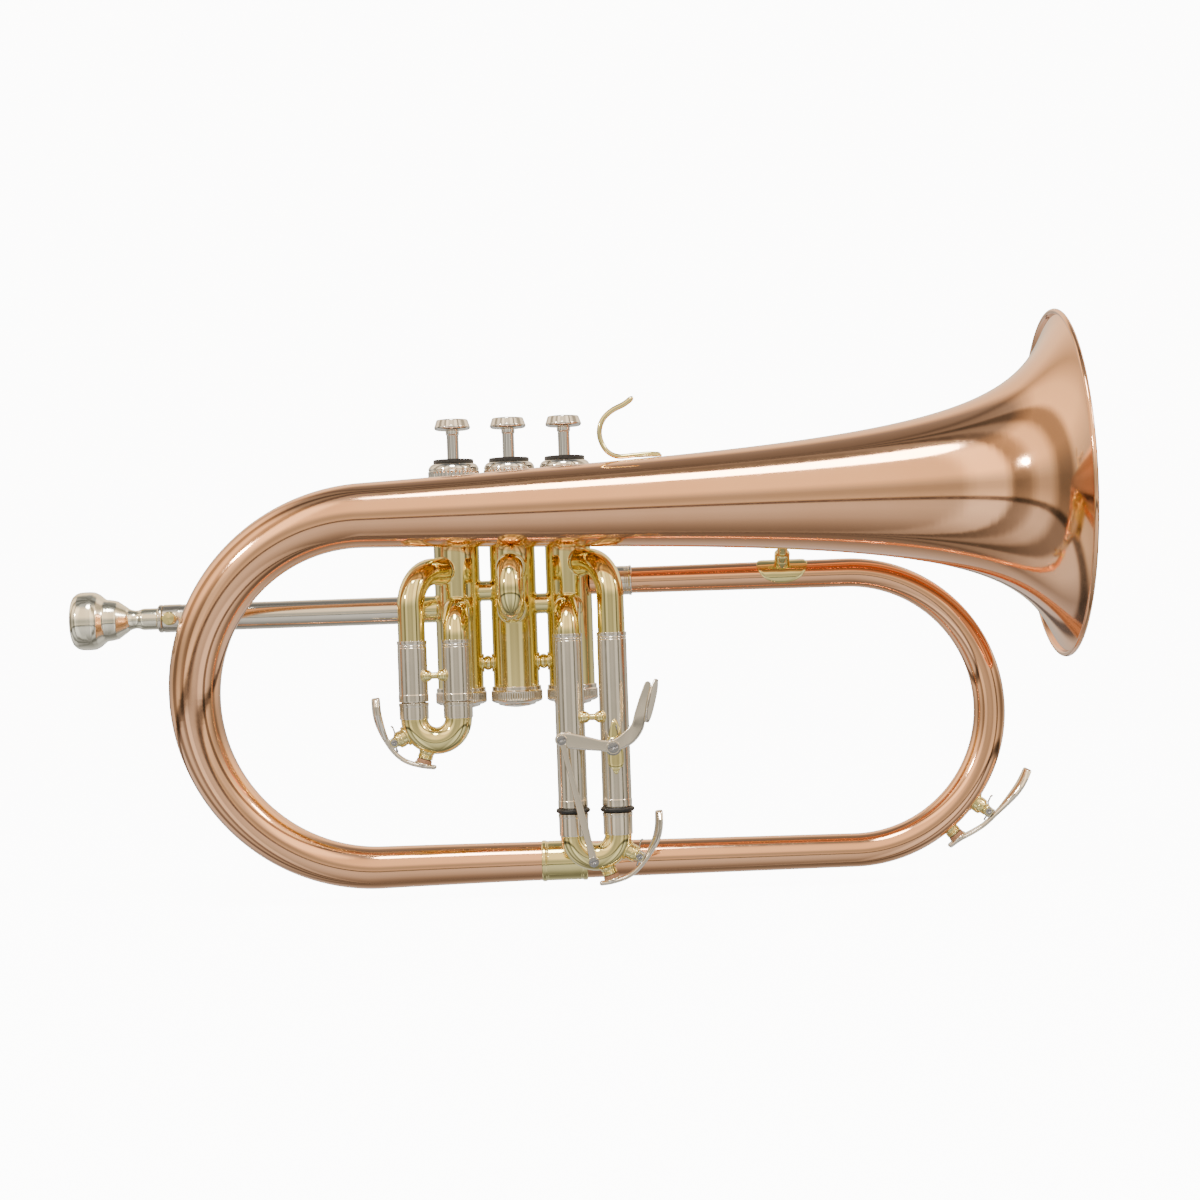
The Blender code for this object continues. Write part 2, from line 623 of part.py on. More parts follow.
def make_mouthpipe(finishes):
    collar_end = MOUTHPIPE_END + COLLAR_LENGTH
    mouth = SLEEVE_BORE - SLIDE_GAP
    stations = [
        ((MOUTHPIPE_END, 0, 0), SLEEVE_RADIUS, MOUTHPIPE_BORE),
        ((collar_end, 0, 0), SLEEVE_RADIUS, MOUTHPIPE_BORE),
        ((collar_end + STEP, 0, 0), mouth, MOUTHPIPE_BORE),
        ((MOUTHPIPE_END + MOUTHPIPE_LENGTH, 0, 0), mouth, MOUTHPIPE_BORE - 0.1 * MM),
    ]
    make_tube("mouthpipe", stations, finishes["nickel"], Y_AXIS, 14)
    sleeve_start = collar_end + FIT_GAP
    port = VALVE_X[0] - PORT_DEPTH
    shoulder = VALVE_X[0] - CASING_RADIUS - FIT_GAP
    narrow = SPIGOT_RADIUS - TUBE_WALL
    stations = [
        ((sleeve_start, 0, 0), SLEEVE_RADIUS, SLEEVE_BORE),
        ((shoulder - 12 * MM, 0, 0), SLEEVE_RADIUS, SLEEVE_BORE),
        ((shoulder - 11 * MM, 0, 0), SLEEVE_RADIUS, narrow),
        ((shoulder, 0, 0), SLEEVE_RADIUS, narrow),
        ((shoulder + STEP, 0, 0), SPIGOT_RADIUS, narrow),
        ((port, 0, 0), SPIGOT_RADIUS, narrow),
    ]
    sleeve = make_tube("mouthpipe_sleeve", stations, finishes["nickel"], Y_AXIS, 14)
    hole = LOCK_SCREW_SHANK + FIT_GAP
    start, end = (LOCK_SCREW_X, -SLEEVE_BORE * 0.8, 0), (LOCK_SCREW_X, -SLEEVE_RADIUS * 1.3, 0)
    combine(sleeve, [make_cutter("lock_hole", start, end, hole, 10)], "DIFFERENCE")
    tip = mouth + FIT_GAP
    head = SLEEVE_RADIUS + 1.2 * MM
    top = head + 4.6 * MM
    profile = [
        (0, tip),
        (LOCK_SCREW_SHANK, tip),
        (LOCK_SCREW_SHANK, head),
        (LOCK_SCREW_HEAD * 0.7, head),
        (LOCK_SCREW_HEAD, head + 1.2 * MM),
        (LOCK_SCREW_HEAD, top - 0.6 * MM),
        (LOCK_SCREW_HEAD * 0.75, top),
        (0, top),
    ]
    at = (LOCK_SCREW_X, 0, 0)
    make_turned("mouthpipe_lock_screw", profile, finishes["yellow_brass"], at, -Y_AXIS, 12)


def make_mouthpiece(finishes):
    """Turned about the mouthpipe's axis: heights count from the rim towards the shank's end."""
    end = CUP_LENGTH + SHANK_DEPTH
    profile = [
        (8.4 * MM, 0.9 * MM),
        (10.2 * MM, 0),
        (RIM_RADIUS - 0.8 * MM, 1.2 * MM),
        (RIM_RADIUS, 3.6 * MM),
        (RIM_RADIUS, 9.6 * MM),
        (RIM_RADIUS - 1.2 * MM, 12.0 * MM),
        (9.7 * MM, 14.8 * MM),
        (9.3 * MM, 17.0 * MM),
        (8.5 * MM, 20.3 * MM),
        (5.7 * MM, 24.5 * MM),
        (4.5 * MM, 26.3 * MM),
        (4.2 * MM, 28.6 * MM),
        (SHANK_RADIUS + 0.2 * MM, 31.3 * MM),
        (SHANK_RADIUS, CUP_LENGTH),
        (SHANK_RADIUS - 0.4 * MM, end),
        (3.6 * MM, end),
        (2.2 * MM, 24 * MM),
        (2.6 * MM, 20 * MM),
        (7.2 * MM, 6 * MM),
    ]
    at = (MOUTHPIPE_END - CUP_LENGTH, 0, 0)
    make_turned("mouthpiece", profile, finishes["silver"], at, X_AXIS)


def leg_places(slide):
    """X of the leg with the high elbow and of the leg with the low elbow."""
    low = VALVE_X[slide["valve"]] + slide["shift"]
    return low + slide["side"] * LEG_SPACING, low


def leg_direction(slide, leg_x):
    out = np.array((leg_x - VALVE_X[slide["valve"]], SLIDE_Y, 0.0))
    return out / np.linalg.norm(out)


def make_leg(name, slide, leg_x, port_z, bend, finish):
    """An elbow from the casing's port to a vertical leg, with the outer slide sleeve under it."""
    axis = np.array((VALVE_X[slide["valve"]], 0, port_z))
    out = leg_direction(slide, leg_x)
    reach = float(np.hypot(leg_x - axis[0], SLIDE_Y))
    shoulder = CASING_RADIUS + FIT_GAP
    centre = axis + out * (reach - bend) - Z_AXIS * bend
    curve = arc(centre, bend, out, Z_AXIS, 90, 0, 6)
    path = joined(straight(axis + out * shoulder, curve[0]), curve)
    bore = SLEEVE_TUBE_BORE - 0.4 * MM
    stations = [(axis + out * PORT_DEPTH, SPIGOT_RADIUS, SPIGOT_RADIUS - TUBE_WALL)]
    stations.append((axis + out * (shoulder - STEP), SPIGOT_RADIUS, SPIGOT_RADIUS - TUBE_WALL))
    stations += [(p, ELBOW_RADIUS, bore) for p in path]
    foot = np.array((leg_x, SLIDE_Y, 0.0))
    top, bottom = slide["top"], slide["bottom"]
    stations.append((foot + Z_AXIS * (top + STEP), ELBOW_RADIUS, bore))
    stations.append((foot + Z_AXIS * top, SLEEVE_TUBE_RADIUS, bore))
    stations.append((foot + Z_AXIS * (top - STEP), SLEEVE_TUBE_RADIUS, SLEEVE_TUBE_BORE))
    stations.append((foot + Z_AXIS * bottom, SLEEVE_TUBE_RADIUS, SLEEVE_TUBE_BORE))
    hint = np.cross(out, Z_AXIS)
    return make_tube(name, stations, finish, hint)


def make_crook(name, slide, ring_gap, finish):
    """The inner slide: two inner tubes, a collar on each, and the bow that joins them."""
    left, right = sorted(leg_places(slide))
    middle = (left + right) / 2
    collar = slide["bottom"] - ring_gap
    inner = slide["bottom"] + slide["inner"]
    bore = CROOK_RADIUS - TUBE_WALL
    down = [
        (inner, CROOK_RADIUS),
        (collar + STEP, CROOK_RADIUS),
        (collar, SLEEVE_TUBE_RADIUS),
        (slide["bow"] + STEP, SLEEVE_TUBE_RADIUS),
    ]
    stations = [(np.array((left, SLIDE_Y, z)), r, bore) for z, r in down]
    bow = arc((middle, SLIDE_Y, slide["bow"]), LEG_SPACING / 2, X_AXIS, Z_AXIS, -180, 0, 10)
    stations += [(p, ELBOW_RADIUS, bore) for p in bow]
    stations += [(np.array((right, SLIDE_Y, z)), r, bore) for z, r in reversed(down)]
    return make_tube(name, stations, finish, Y_AXIS)


def make_slide(number, slide, ring_gap, finishes):
    high, low = leg_places(slide)
    names = ("left", "right") if slide["side"] < 0 else ("right", "left")
    make_leg(f"slide_{number}_{names[0]}_leg", slide, high, slide["high"], HIGH_BEND, finishes["nickel"])
    make_leg(f"slide_{number}_{names[1]}_leg", slide, low, LOW_PORT_Z, LOW_BEND, finishes["nickel"])
    length = LEG_SPACING - 2 * (SLEEVE_TUBE_RADIUS + FIT_GAP)
    at = (min(high, low) + SLEEVE_TUBE_RADIUS + FIT_GAP, SLIDE_Y, slide["brace"])
    name = f"slide_{number}_brace"
    make_turned(name, baluster(length, BRACE_RADIUS), finishes["yellow_brass"], at, X_AXIS, 12)
    return make_crook(f"slide_{number}_crook", slide, ring_gap, finishes["yellow_brass"])


def make_slide_2(finishes):
    """The second slide points straight out of the middle casing, one leg above the other."""
    bore = CROOK_RADIUS - TUBE_WALL
    half = SLIDE_2_SPACING / 2
    shoulder = -CASING_RADIUS - FIT_GAP
    for word, z in (("upper", SLIDE_2_MIDDLE + half), ("lower", SLIDE_2_MIDDLE - half)):
        stations = [
            ((0, -PORT_DEPTH, z), SPIGOT_RADIUS, bore),
            ((0, shoulder + STEP, z), SPIGOT_RADIUS, bore),
            ((0, shoulder, z), SLEEVE_TUBE_RADIUS, bore),
            ((0, shoulder - 1.2 * MM, z), SLEEVE_TUBE_RADIUS, bore),
            ((0, shoulder - 1.2 * MM - STEP, z), SLEEVE_TUBE_RADIUS, SLEEVE_TUBE_BORE),
            ((0, SLIDE_2_SLEEVE_END, z), SLEEVE_TUBE_RADIUS, SLEEVE_TUBE_BORE),
        ]
        make_tube(f"slide_2_{word}_leg", stations, finishes["yellow_brass"], X_AXIS)
    collar = SLIDE_2_SLEEVE_END - FIT_GAP
    inner = SLIDE_2_SLEEVE_END + SLIDE_2_INNER
    out = [
        (inner, CROOK_RADIUS),
        (collar + STEP, CROOK_RADIUS),
        (collar, ELBOW_RADIUS),
    ]
    upper, lower = SLIDE_2_MIDDLE + half, SLIDE_2_MIDDLE - half
    stations = [(np.array((0, y, upper)), r, bore) for y, r in out]
    bow = arc((0, SLIDE_2_BOW_Y, SLIDE_2_MIDDLE), half, -Y_AXIS, Z_AXIS, 90, -90, 10)
    stations += [(p, ELBOW_RADIUS, bore) for p in bow]
    stations += [(np.array((0, y, lower)), r, bore) for y, r in reversed(out)]
    make_tube("slide_2_crook", stations, finishes["yellow_brass"], X_AXIS)


def make_bell_supports(finishes):
    tube = np.array((BELL_BRACE_X, 0, EXIT_Z))
    bell = np.array((BELL_BRACE_X, BELL_Y, bell_axis_z(BELL_BRACE_X)))
    reach = np.linalg.norm(bell - tube)
    towards = (bell - tube) / reach
    start = MAIN_START_RADIUS + 0.7 * MM + FIT_GAP
    end = reach - bell_surface_radius(BELL_BRACE_X) - 1.0 * MM
    flange = 2.6 * BELL_BRACE_POST
    lip = 1.0 * MM
    profile = [
        (0, start),
        (flange, start),
        (flange, start + lip),
        (BELL_BRACE_POST, start + 2 * lip),
        (BELL_BRACE_POST, end - 2 * lip),
        (flange * 0.7, end - lip),
        (flange * 0.7, end),
        (0, end),
    ]
    make_turned("bell_brace", profile, finishes["yellow_brass"], tube, towards, 12)
    for number in (1, 3):
        x = VALVE_X[number - 1]
        z = bell_axis_z(x)
        gap = -BELL_Y - bell_surface_radius(x + BELL_STAY_RADIUS) - FIT_GAP
        start = CASING_RADIUS + FIT_GAP
        radius = BELL_STAY_RADIUS
        profile = [(0, start), (radius, start), (radius, gap), (0, gap)]
        make_turned(f"bell_stay_{number}", profile, finishes["yellow_brass"], (x, 0, z), -Y_AXIS, 12)


def bezier(points, steps):
    """A smooth path of cubic pieces: points hold the ends and the two handles of each piece."""
    t = np.linspace(0, 1, steps + 1)[:, None]
    pieces = []
    for i in range(0, len(points) - 3, 3):
        a, b, c, d = (np.asarray(p) for p in points[i : i + 4])
        pieces.append((1 - t) ** 3 * a + 3 * (1 - t) ** 2 * t * b + 3 * (1 - t) * t**2 * c + t**3 * d)
    return joined(*pieces)


def make_finger_hook(finishes):
    """A bent wire on top of the bell: a long foot, then a curl up and over."""
    seat = bell_axis_z(HOOK_START) + bell_surface_radius(HOOK_START) + HOOK_WIRE + FIT_GAP
    outline = [
        (0, 0),
        (-8, 0),
        (-15, -0.6),
        (-21, -0.8),
        (-26.5, -0.8),
        (-29.5, 5),
        (-27.3, 11),
        (-24.8, 18),
        (-15.5, 17.5),
        (-11.4, 24.5),
    ]
    points = [(HOOK_START + x * MM, BELL_Y, seat + z * MM) for x, z in outline]
    path = bezier(points, 6)
    rings = round_rings(path, np.full(len(path), HOOK_WIRE), 8, Y_AXIS)
    add_object("finger_hook", loft("finger_hook", rings), finishes["yellow_brass"])


def make_trigger_lever(pivot, eye, finishes):
    """The lever: an arm lying flat against the slide, then a plate for the thumb across its end."""
    beyond = (eye - pivot) / TRIGGER_ARM * LEVER_OVERHANG
    places = [LEVER_BEND, *THUMB_PLATE_PLACES]
    tip = np.array([pivot + np.array((x * MM, 0, z * MM)) for x, z in places])
    path = joined(np.array([eye + beyond, eye, pivot]), tip)
    path[:, 1] -= LEVER_LEAN * smooth_step((path[:, 0] - TRIGGER_X) / LEAN_LENGTH)
    half = TRIGGER_PLATE / 2
    bend = len(LEVER_ARM_HEIGHTS)
    rings = []
    for point, height in zip(path[:bend], LEVER_ARM_HEIGHTS, strict=True):
        up = height * MM / 2
        corners = [(-half, -up), (half, -up), (half, up), (-half, up)]
        rings.append([point + np.array((0, y, z)) for y, z in corners])
    for point, width in zip(path[bend:], THUMB_PLATE_WIDTHS, strict=True):
        side = width * MM / 2
        corners = [(half, -side), (half, side), (-half, side), (-half, -side)]
        rings.append([point + np.array((x, y, 0)) for x, y in corners])
    lever = add_object(
        "trigger_lever", loft("trigger_lever", np.array(rings)), finishes["nickel"]
    )
    lever.data.transform(Matrix.Translation(-Vector(pivot)))
    lever.location = Vector(pivot)
    through = Vector((0, 2 * TRIGGER_PLATE, 0))
    here = Vector(pivot)
    hole = TRIGGER_PIN + PIN_PLAY
    combine(lever, [make_cutter("lever_hole", here - through, here + through, hole)], "DIFFERENCE")
    pin_start = Vector(eye) + Vector((0, TRIGGER_PLATE * 0.2, 0))
    pin_end = Vector((eye[0], ROD_PLANE - PIN_HEAD, eye[2]))
    combine(lever, [make_cutter("lever_pin", pin_start, pin_end, ROD_PIN, 8)], "UNION")


def make_trigger_saddle(finishes):
    """A post with the lever's pin, on a shield-shaped plate that lies along the slide's sleeve."""
    sleeve_x = max(leg_places(SLIDE_3))
    plate_back = SLIDE_Y - SLEEVE_TUBE_RADIUS - FIT_GAP
    base = -plate_back
    seat = -TRIGGER_PLANE - TRIGGER_PLATE / 2 - FIT_GAP
    end = -TRIGGER_PLANE + TRIGGER_PLATE / 2 + SADDLE_PIN_END
    profile = [
        (0, base),
        (SADDLE_BASE, base),
        (SADDLE_BASE, base + SADDLE_BASE_HEIGHT),
        (SADDLE_NECK, base + SADDLE_BASE_HEIGHT),
        (SADDLE_NECK, seat),
        (TRIGGER_PIN, seat),
        (TRIGGER_PIN, end),
        (0, end),
    ]
    at = (TRIGGER_X, 0, TRIGGER_Z)
    saddle = make_turned("trigger_saddle", profile, finishes["yellow_brass"], at, -Y_AXIS, 12)
    plate_front = plate_back - SHIELD_THICKNESS
    rings = []
    for half, z in SHIELD_PLACES:
        side = half * MM
        corners = [(-side, plate_front), (side, plate_front), (side, plate_back), (-side, plate_back)]
        rings.append([(sleeve_x + x, y, TRIGGER_Z + z * MM) for x, y in corners])
    shield = bpy.data.objects.new("saddle_shield", loft("saddle_shield", np.array(rings)))
    bpy.context.scene.collection.objects.link(shield)
    shield.hide_render = True
    combine(saddle, [shield], "UNION")


def make_trigger_rod(eye, finishes):
    """A flat rod with an eye at each end, from the stud on the slide's bow up to the lever."""
    low = np.array((ROD_END_X, ROD_PLANE, ROD_END_Z))
    high = np.array((eye[0], ROD_PLANE, eye[2]))
    along = (high - low) / np.linalg.norm(high - low)
    ends = [low - along * ROD_EYE_ROOM, low, low + along * 2 * ROD_EYE_ROOM]
    ends += [high - along * 2 * ROD_EYE_ROOM, high, high + along * ROD_EYE_ROOM]
    across = np.cross(along, Y_AXIS)
    thick = Y_AXIS * ROD_THICKNESS / 2
    rings = []
    for point, size in zip(ends, ROD_WIDTHS, strict=True):
        side = across * size * MM / 2
        rings.append([point - side - thick, point + side - thick, point + side + thick, point - side + thick])
    rod = add_object("trigger_rod", loft("trigger_rod", np.array(rings)), finishes["nickel"])
    rod.data.transform(Matrix.Translation(-Vector(low)))
    rod.location = Vector(low)
    through = Vector((0, 2 * ROD_THICKNESS, 0))
    eyes = []
    for i, (point, play) in enumerate(((low, PIN_PLAY), (high, OPEN_PIVOT_PLAY))):
        here = Vector(point)
        eyes.append(make_cutter(f"rod_eye_{i}", here - through, here + through, ROD_PIN + play, 8))
    combine(rod, eyes, "DIFFERENCE")


def make_trigger(crook, finishes):
    pivot = np.array((TRIGGER_X, TRIGGER_PLANE, TRIGGER_Z))
    eye = pivot + TRIGGER_ARM * np.array((-math.cos(TRIGGER_TILT), 0, math.sin(TRIGGER_TILT)))
    make_trigger_lever(pivot, eye, finishes)
    make_trigger_saddle(finishes)
    stud = Vector((ROD_END_X, SLIDE_Y - ELBOW_RADIUS * 0.5, ROD_END_Z))
    stud_end = Vector((ROD_END_X, ROD_PLANE + STUD_TOP, ROD_END_Z))
    pin_end = Vector((ROD_END_X, ROD_PLANE - PIN_HEAD, ROD_END_Z))
    parts = [make_cutter("rod_stud", stud, stud_end, STUD_RADIUS, 8)]
    parts.append(make_cutter("rod_stud_pin", stud, pin_end, ROD_PIN, 8))
    combine(crook, parts, "UNION")
    make_trigger_rod(eye, finishes)


def make_water_key(name, key, finishes):
    """A water key on the outside of a bow: saddle, nipple, and a lever that carries the cork.

    Each place on it is an angle round the bow's centre and a height above the tube's surface.
    """
    centre = np.array(key["centre"])
    surface = key["surface"]

    def place(angle, height):
        a = math.radians(angle)
        return centre + (surface + height) * np.array((math.cos(a), 0, math.sin(a)))

    def outward(angle):
        a = math.radians(angle)
        return np.array((math.cos(a), 0, math.sin(a)))

    nipple_angle, pivot_angle = key["nipple"], key["pivot"]
    sink = key["sink"]
    profile = [
        (NIPPLE_BORE, -sink),
        (NIPPLE_RADIUS, -sink),
        (NIPPLE_RADIUS, NIPPLE_HEIGHT),
        (NIPPLE_BORE, NIPPLE_HEIGHT),
    ]
    at, out = place(nipple_angle, 0), outward(nipple_angle)
    make_turned(f"{name}_nipple", profile, finishes["yellow_brass"], at, out, 10)
    at, out = place(pivot_angle, 0), outward(pivot_angle)
    height = key["post"]
    top = height - SADDLE_TOP_ROOM
    neck = SADDLE_DRUM + SADDLE_NECK_EASE
    profile = [(0, -sink), (SADDLE_RADIUS, -sink), (SADDLE_RADIUS, SADDLE_DRUM)]
    profile += [(SADDLE_NECK_RADIUS, neck), (SADDLE_NECK_RADIUS, top), (0, top)]
    saddle = make_turned(f"{name}_saddle", profile, finishes["yellow_brass"], at, out, 10)

    pad = NIPPLE_HEIGHT + FIT_GAP + CORK_HEIGHT + KEY_PLATE / 2
    pivot = place(pivot_angle, height + KEY_PLATE / 2)
    end = place(key["end"], pad)
    over = place(nipple_angle, pad)
    bends = [place(angle, h) for angle, h in key["bends"]]
    path = np.array([end, over, pivot, *bends])
    widths = [KEY_END_WIDTH, 2 * CORK_RADIUS + CORK_SEAT, KEY_WIDTH]
    widths += list(np.linspace(KEY_WIDTH, KEY_TIP_WIDTH, len(bends)))
    lever = make_strip(f"{name}_lever", path, widths, KEY_PLATE, finishes["nickel"])
    lever.data.transform(Matrix.Translation(-Vector(pivot)))
    lever.location = Vector(pivot)
    foot = Vector(place(nipple_angle, NIPPLE_HEIGHT + FIT_GAP))
    head = Vector(place(nipple_angle, pad))
    combine(lever, [make_cutter(f"{name}_cork", foot, head, CORK_RADIUS, 10)], "UNION")
    return saddle


def crook_key(slide, mirror):
    """Places of the water key on a slide's crook. mirror is 1 for the right side, -1 for the left."""
    left, right = leg_places(slide)

    def flip(angle):
        return angle if mirror > 0 else -180 - angle

    return {
        "centre": ((left + right) / 2, SLIDE_Y, slide["bow"]),
        "surface": LEG_SPACING / 2 + ELBOW_RADIUS,
        "nipple": flip(-72),
        "pivot": flip(-28),
        "end": flip(-88),
        "post": 7.0 * MM,
        "sink": -0.5 * MM,
        "bends": [(flip(-8), 9.0 * MM), (flip(8), 11.3 * MM), (flip(21), 13.3 * MM)],
    }


def make_water_keys(finishes):
    bow = {
        "centre": (RIGHT_BOW_X, 0, RIGHT_BOW_Z),
        "surface": RIGHT_BOW_RADIUS + (MAIN_START_RADIUS + MAIN_END_RADIUS) / 2 + 0.5 * MM,
        "nipple": -51.5,
        "pivot": -38,
        "end": -56,
        "post": 8.4 * MM,
        "sink": -0.3 * MM,
        "bends": [(-31, 11.3 * MM), (-25, 13.0 * MM), (-20, 14.0 * MM)],
    }
    make_water_key("water_key_bow", bow, finishes)
    make_water_key("water_key_1", crook_key(SLIDE_1, -1), finishes)
    make_water_key("water_key_3", crook_key(SLIDE_3, 1), finishes)


def main():
    start_clean()
    finishes = make_finishes()
    make_bell(finishes)
    make_main_tube(finishes)
    make_ferrules(finishes)
    make_casings(finishes)
    make_valve_block_links(finishes)
    make_mouthpipe(finishes)
    make_mouthpiece(finishes)
    make_slide(1, SLIDE_1, FIT_GAP, finishes)
    make_slide_2(finishes)
    crook = make_slide(3, SLIDE_3, RING_GAP, finishes)
    make_bell_supports(finishes)
    make_finger_hook(finishes)
    make_trigger(crook, finishes)
    make_water_keys(finishes)


main()
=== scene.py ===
# %% [markdown]
# # A flugelhorn in B flat, surface by surface
#
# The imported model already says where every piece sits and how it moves. This lesson gives each
# piece its fine surface and its finish. A brass instrument is a good first study in numpy
# surfaces, because nearly all of it is one idea: an outline turned about an axis, or the same
# outline bent along a line.

import math

import bpy
import numpy as np
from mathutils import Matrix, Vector


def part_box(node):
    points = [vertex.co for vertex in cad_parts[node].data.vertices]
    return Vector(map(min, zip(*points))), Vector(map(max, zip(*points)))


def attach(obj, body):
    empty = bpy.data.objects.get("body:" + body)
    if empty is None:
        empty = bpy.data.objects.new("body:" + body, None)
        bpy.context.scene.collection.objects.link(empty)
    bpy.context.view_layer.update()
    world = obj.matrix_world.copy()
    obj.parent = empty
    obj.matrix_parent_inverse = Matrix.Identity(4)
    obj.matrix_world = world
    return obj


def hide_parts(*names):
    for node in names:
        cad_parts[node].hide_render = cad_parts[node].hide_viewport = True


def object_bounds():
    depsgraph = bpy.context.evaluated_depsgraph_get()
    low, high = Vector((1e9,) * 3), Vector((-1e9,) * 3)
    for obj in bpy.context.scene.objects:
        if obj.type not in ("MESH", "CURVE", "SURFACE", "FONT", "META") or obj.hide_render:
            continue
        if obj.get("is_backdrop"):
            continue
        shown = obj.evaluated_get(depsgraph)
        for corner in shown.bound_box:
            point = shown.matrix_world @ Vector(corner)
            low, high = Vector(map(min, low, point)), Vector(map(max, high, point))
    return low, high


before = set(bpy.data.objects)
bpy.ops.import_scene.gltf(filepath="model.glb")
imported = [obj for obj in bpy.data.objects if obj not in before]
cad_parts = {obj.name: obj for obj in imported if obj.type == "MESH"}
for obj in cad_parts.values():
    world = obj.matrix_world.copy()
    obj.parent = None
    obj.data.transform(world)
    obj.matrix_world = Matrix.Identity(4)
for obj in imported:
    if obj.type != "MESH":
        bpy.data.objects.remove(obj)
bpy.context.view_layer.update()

# %% [markdown]
# ## Grids that become meshes
#
# A surface here is a grid of points: rows follow the piece, columns go round it. The columns
# always close into a ring. Points that fall on each other, at a pole or a seam, are made one
# point, so that the mesh is watertight. The sum of the signed volumes under the faces says
# whether they point outwards, and turns them round where they don't.

# %% From a grid to a surface
MM = 0.001
X, Y, Z = np.eye(3)
SMALLEST = 1e-7  # points nearer than this are one point


def skin(grid, loop=False):
    """Quads between each row and the next, with a second set of coordinates in metres.

    The first is the distance down the rows, the second the distance round a row of middling size.
    loop joins the last row to the first, as on a hollow tube whose rows run out and then back in.
    """
    if loop:
        grid = np.concatenate([grid, grid[:1]])
    rows, columns = grid.shape[:2]
    index = np.arange(rows * columns).reshape(rows, columns)
    near, far = index[:-1], index[1:]
    after = np.roll(index, -1, axis=1)
    quads = np.stack([near, after[:-1], after[1:], far], axis=-1).reshape(-1, 4)
    steps = np.linalg.norm(np.diff(grid.mean(axis=1), axis=0), axis=1)
    steps += np.abs(np.diff(np.linalg.norm(grid[:, 0] - grid.mean(axis=1), axis=1)))
    down = np.concatenate([[0], np.cumsum(steps)])
    size = np.median(np.linalg.norm(grid[:, 0] - grid.mean(axis=1), axis=1))
    round_it = np.arange(columns + 1) / columns * 2 * np.pi * size
    u = np.broadcast_to(down[:, None], (rows, columns + 1))
    v = np.broadcast_to(round_it, (rows, columns + 1))
    place = np.stack([u, v], axis=-1)
    corners = [place[:-1, :-1], place[:-1, 1:], place[1:, 1:], place[1:, :-1]]
    return outward((grid.reshape(-1, 3), quads, np.stack(corners, axis=2).reshape(-1, 4, 2)))


def outward(surface):
    """The surface with its faces turned round if the volume under them comes out negative."""
    points, quads, places = surface
    a, b, c, d = (points[quads[:, k]] for k in range(4))
    volume = (a * np.cross(b, c)).sum() + (a * np.cross(c, d)).sum()
    if volume < 0:
        return points, quads[:, ::-1], places[:, ::-1]
    return surface


def gathered(*surfaces):
    """Several closed surfaces as one."""
    first = np.cumsum([0] + [len(s[0]) for s in surfaces[:-1]])
    points = np.concatenate([s[0] for s in surfaces])
    quads = np.concatenate([s[1] + k for s, k in zip(surfaces, first, strict=True)])
    return points, quads, np.concatenate([s[2] for s in surfaces])


def make_mesh(name, surface, sharp=40):
    """A Blender mesh of the surface, with its seams and poles closed."""
    points, quads, places = surface
    _, keep, index = np.unique(
        np.round(points / SMALLEST).astype(np.int64), axis=0, return_index=True, return_inverse=True
    )
    points, quads = points[keep], index.reshape(-1)[quads]
    kept = quads != np.roll(quads, 1, axis=1)
    real = kept.sum(axis=1) > 2
    quads, kept, places = quads[real], kept[real], places[real]
    sizes = kept.sum(axis=1)
    mesh = bpy.data.meshes.new(name)
    mesh.vertices.add(len(points))
    mesh.vertices.foreach_set("co", points.astype(np.float32).reshape(-1))
    mesh.loops.add(int(sizes.sum()))
    mesh.loops.foreach_set("vertex_index", quads[kept].astype(np.int32))
    mesh.polygons.add(len(sizes))
    starts = np.concatenate([[0], np.cumsum(sizes)[:-1]])
    mesh.polygons.foreach_set("loop_start", starts.astype(np.int32))
    mesh.update(calc_edges=True)
    mesh.validate()
    lay = mesh.uv_layers.new(name="Lay")
    if len(lay.data) == int(sizes.sum()):
        lay.data.foreach_set("uv", places[kept].astype(np.float32).reshape(-1))
    mesh.shade_smooth()
    mesh.set_sharp_from_angle(angle=math.radians(sharp))
    return mesh


def put(name, surface, finish, body, stands_for=()):
    """A finished piece: mesh, finish, the body it moves with and the nodes it stands for."""
    made = bpy.data.objects.new(name, make_mesh(name, surface))
    bpy.context.scene.collection.objects.link(made)
    made.data.materials.append(finishes[finish])
    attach(made, body)
    if stands_for:
        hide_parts(*stands_for)


# %% [markdown]
# ## Outlines, turned and bent
#
# A lathe piece is an outline of radius against height. Real edges are never dead sharp, so each
# corner is cut back a little and bridged by a parabola. The same outline can follow a bent line:
# its heights become distances along the line, and that gives bows, crooks and elbows.

# %% Outlines
EASE_STEPS = 4  # short edges across each eased corner


def eased(outline, cut, loop):
    """The outline with each corner replaced by a parabola.

    The parabola runs from a point cut before the corner to one cut after it. The two ends of an
    open outline stay where they are.
    """
    outline = np.asarray(outline, float)
    fresh = np.linalg.norm(outline - np.roll(outline, 1, axis=0), axis=1) > 1e-6
    fresh[0] = fresh[0] or not loop
    outline = outline[fresh]
    before = np.roll(outline, 1, axis=0) - outline
    after = np.roll(outline, -1, axis=0) - outline
    long_before = np.linalg.norm(before, axis=1)
    long_after = np.linalg.norm(after, axis=1)
    reach = np.minimum(cut, 0.45 * np.minimum(long_before, long_after))
    if not loop:
        reach[[0, -1]] = 0
    start = outline + before / long_before[:, None] * reach[:, None]
    end = outline + after / long_after[:, None] * reach[:, None]
    t = np.linspace(0, 1, EASE_STEPS + 1)[None, :, None]
    curve = (1 - t) ** 2 * start[:, None] + 2 * t * (1 - t) * outline[:, None] + t**2 * end[:, None]
    return curve.reshape(-1, 2)


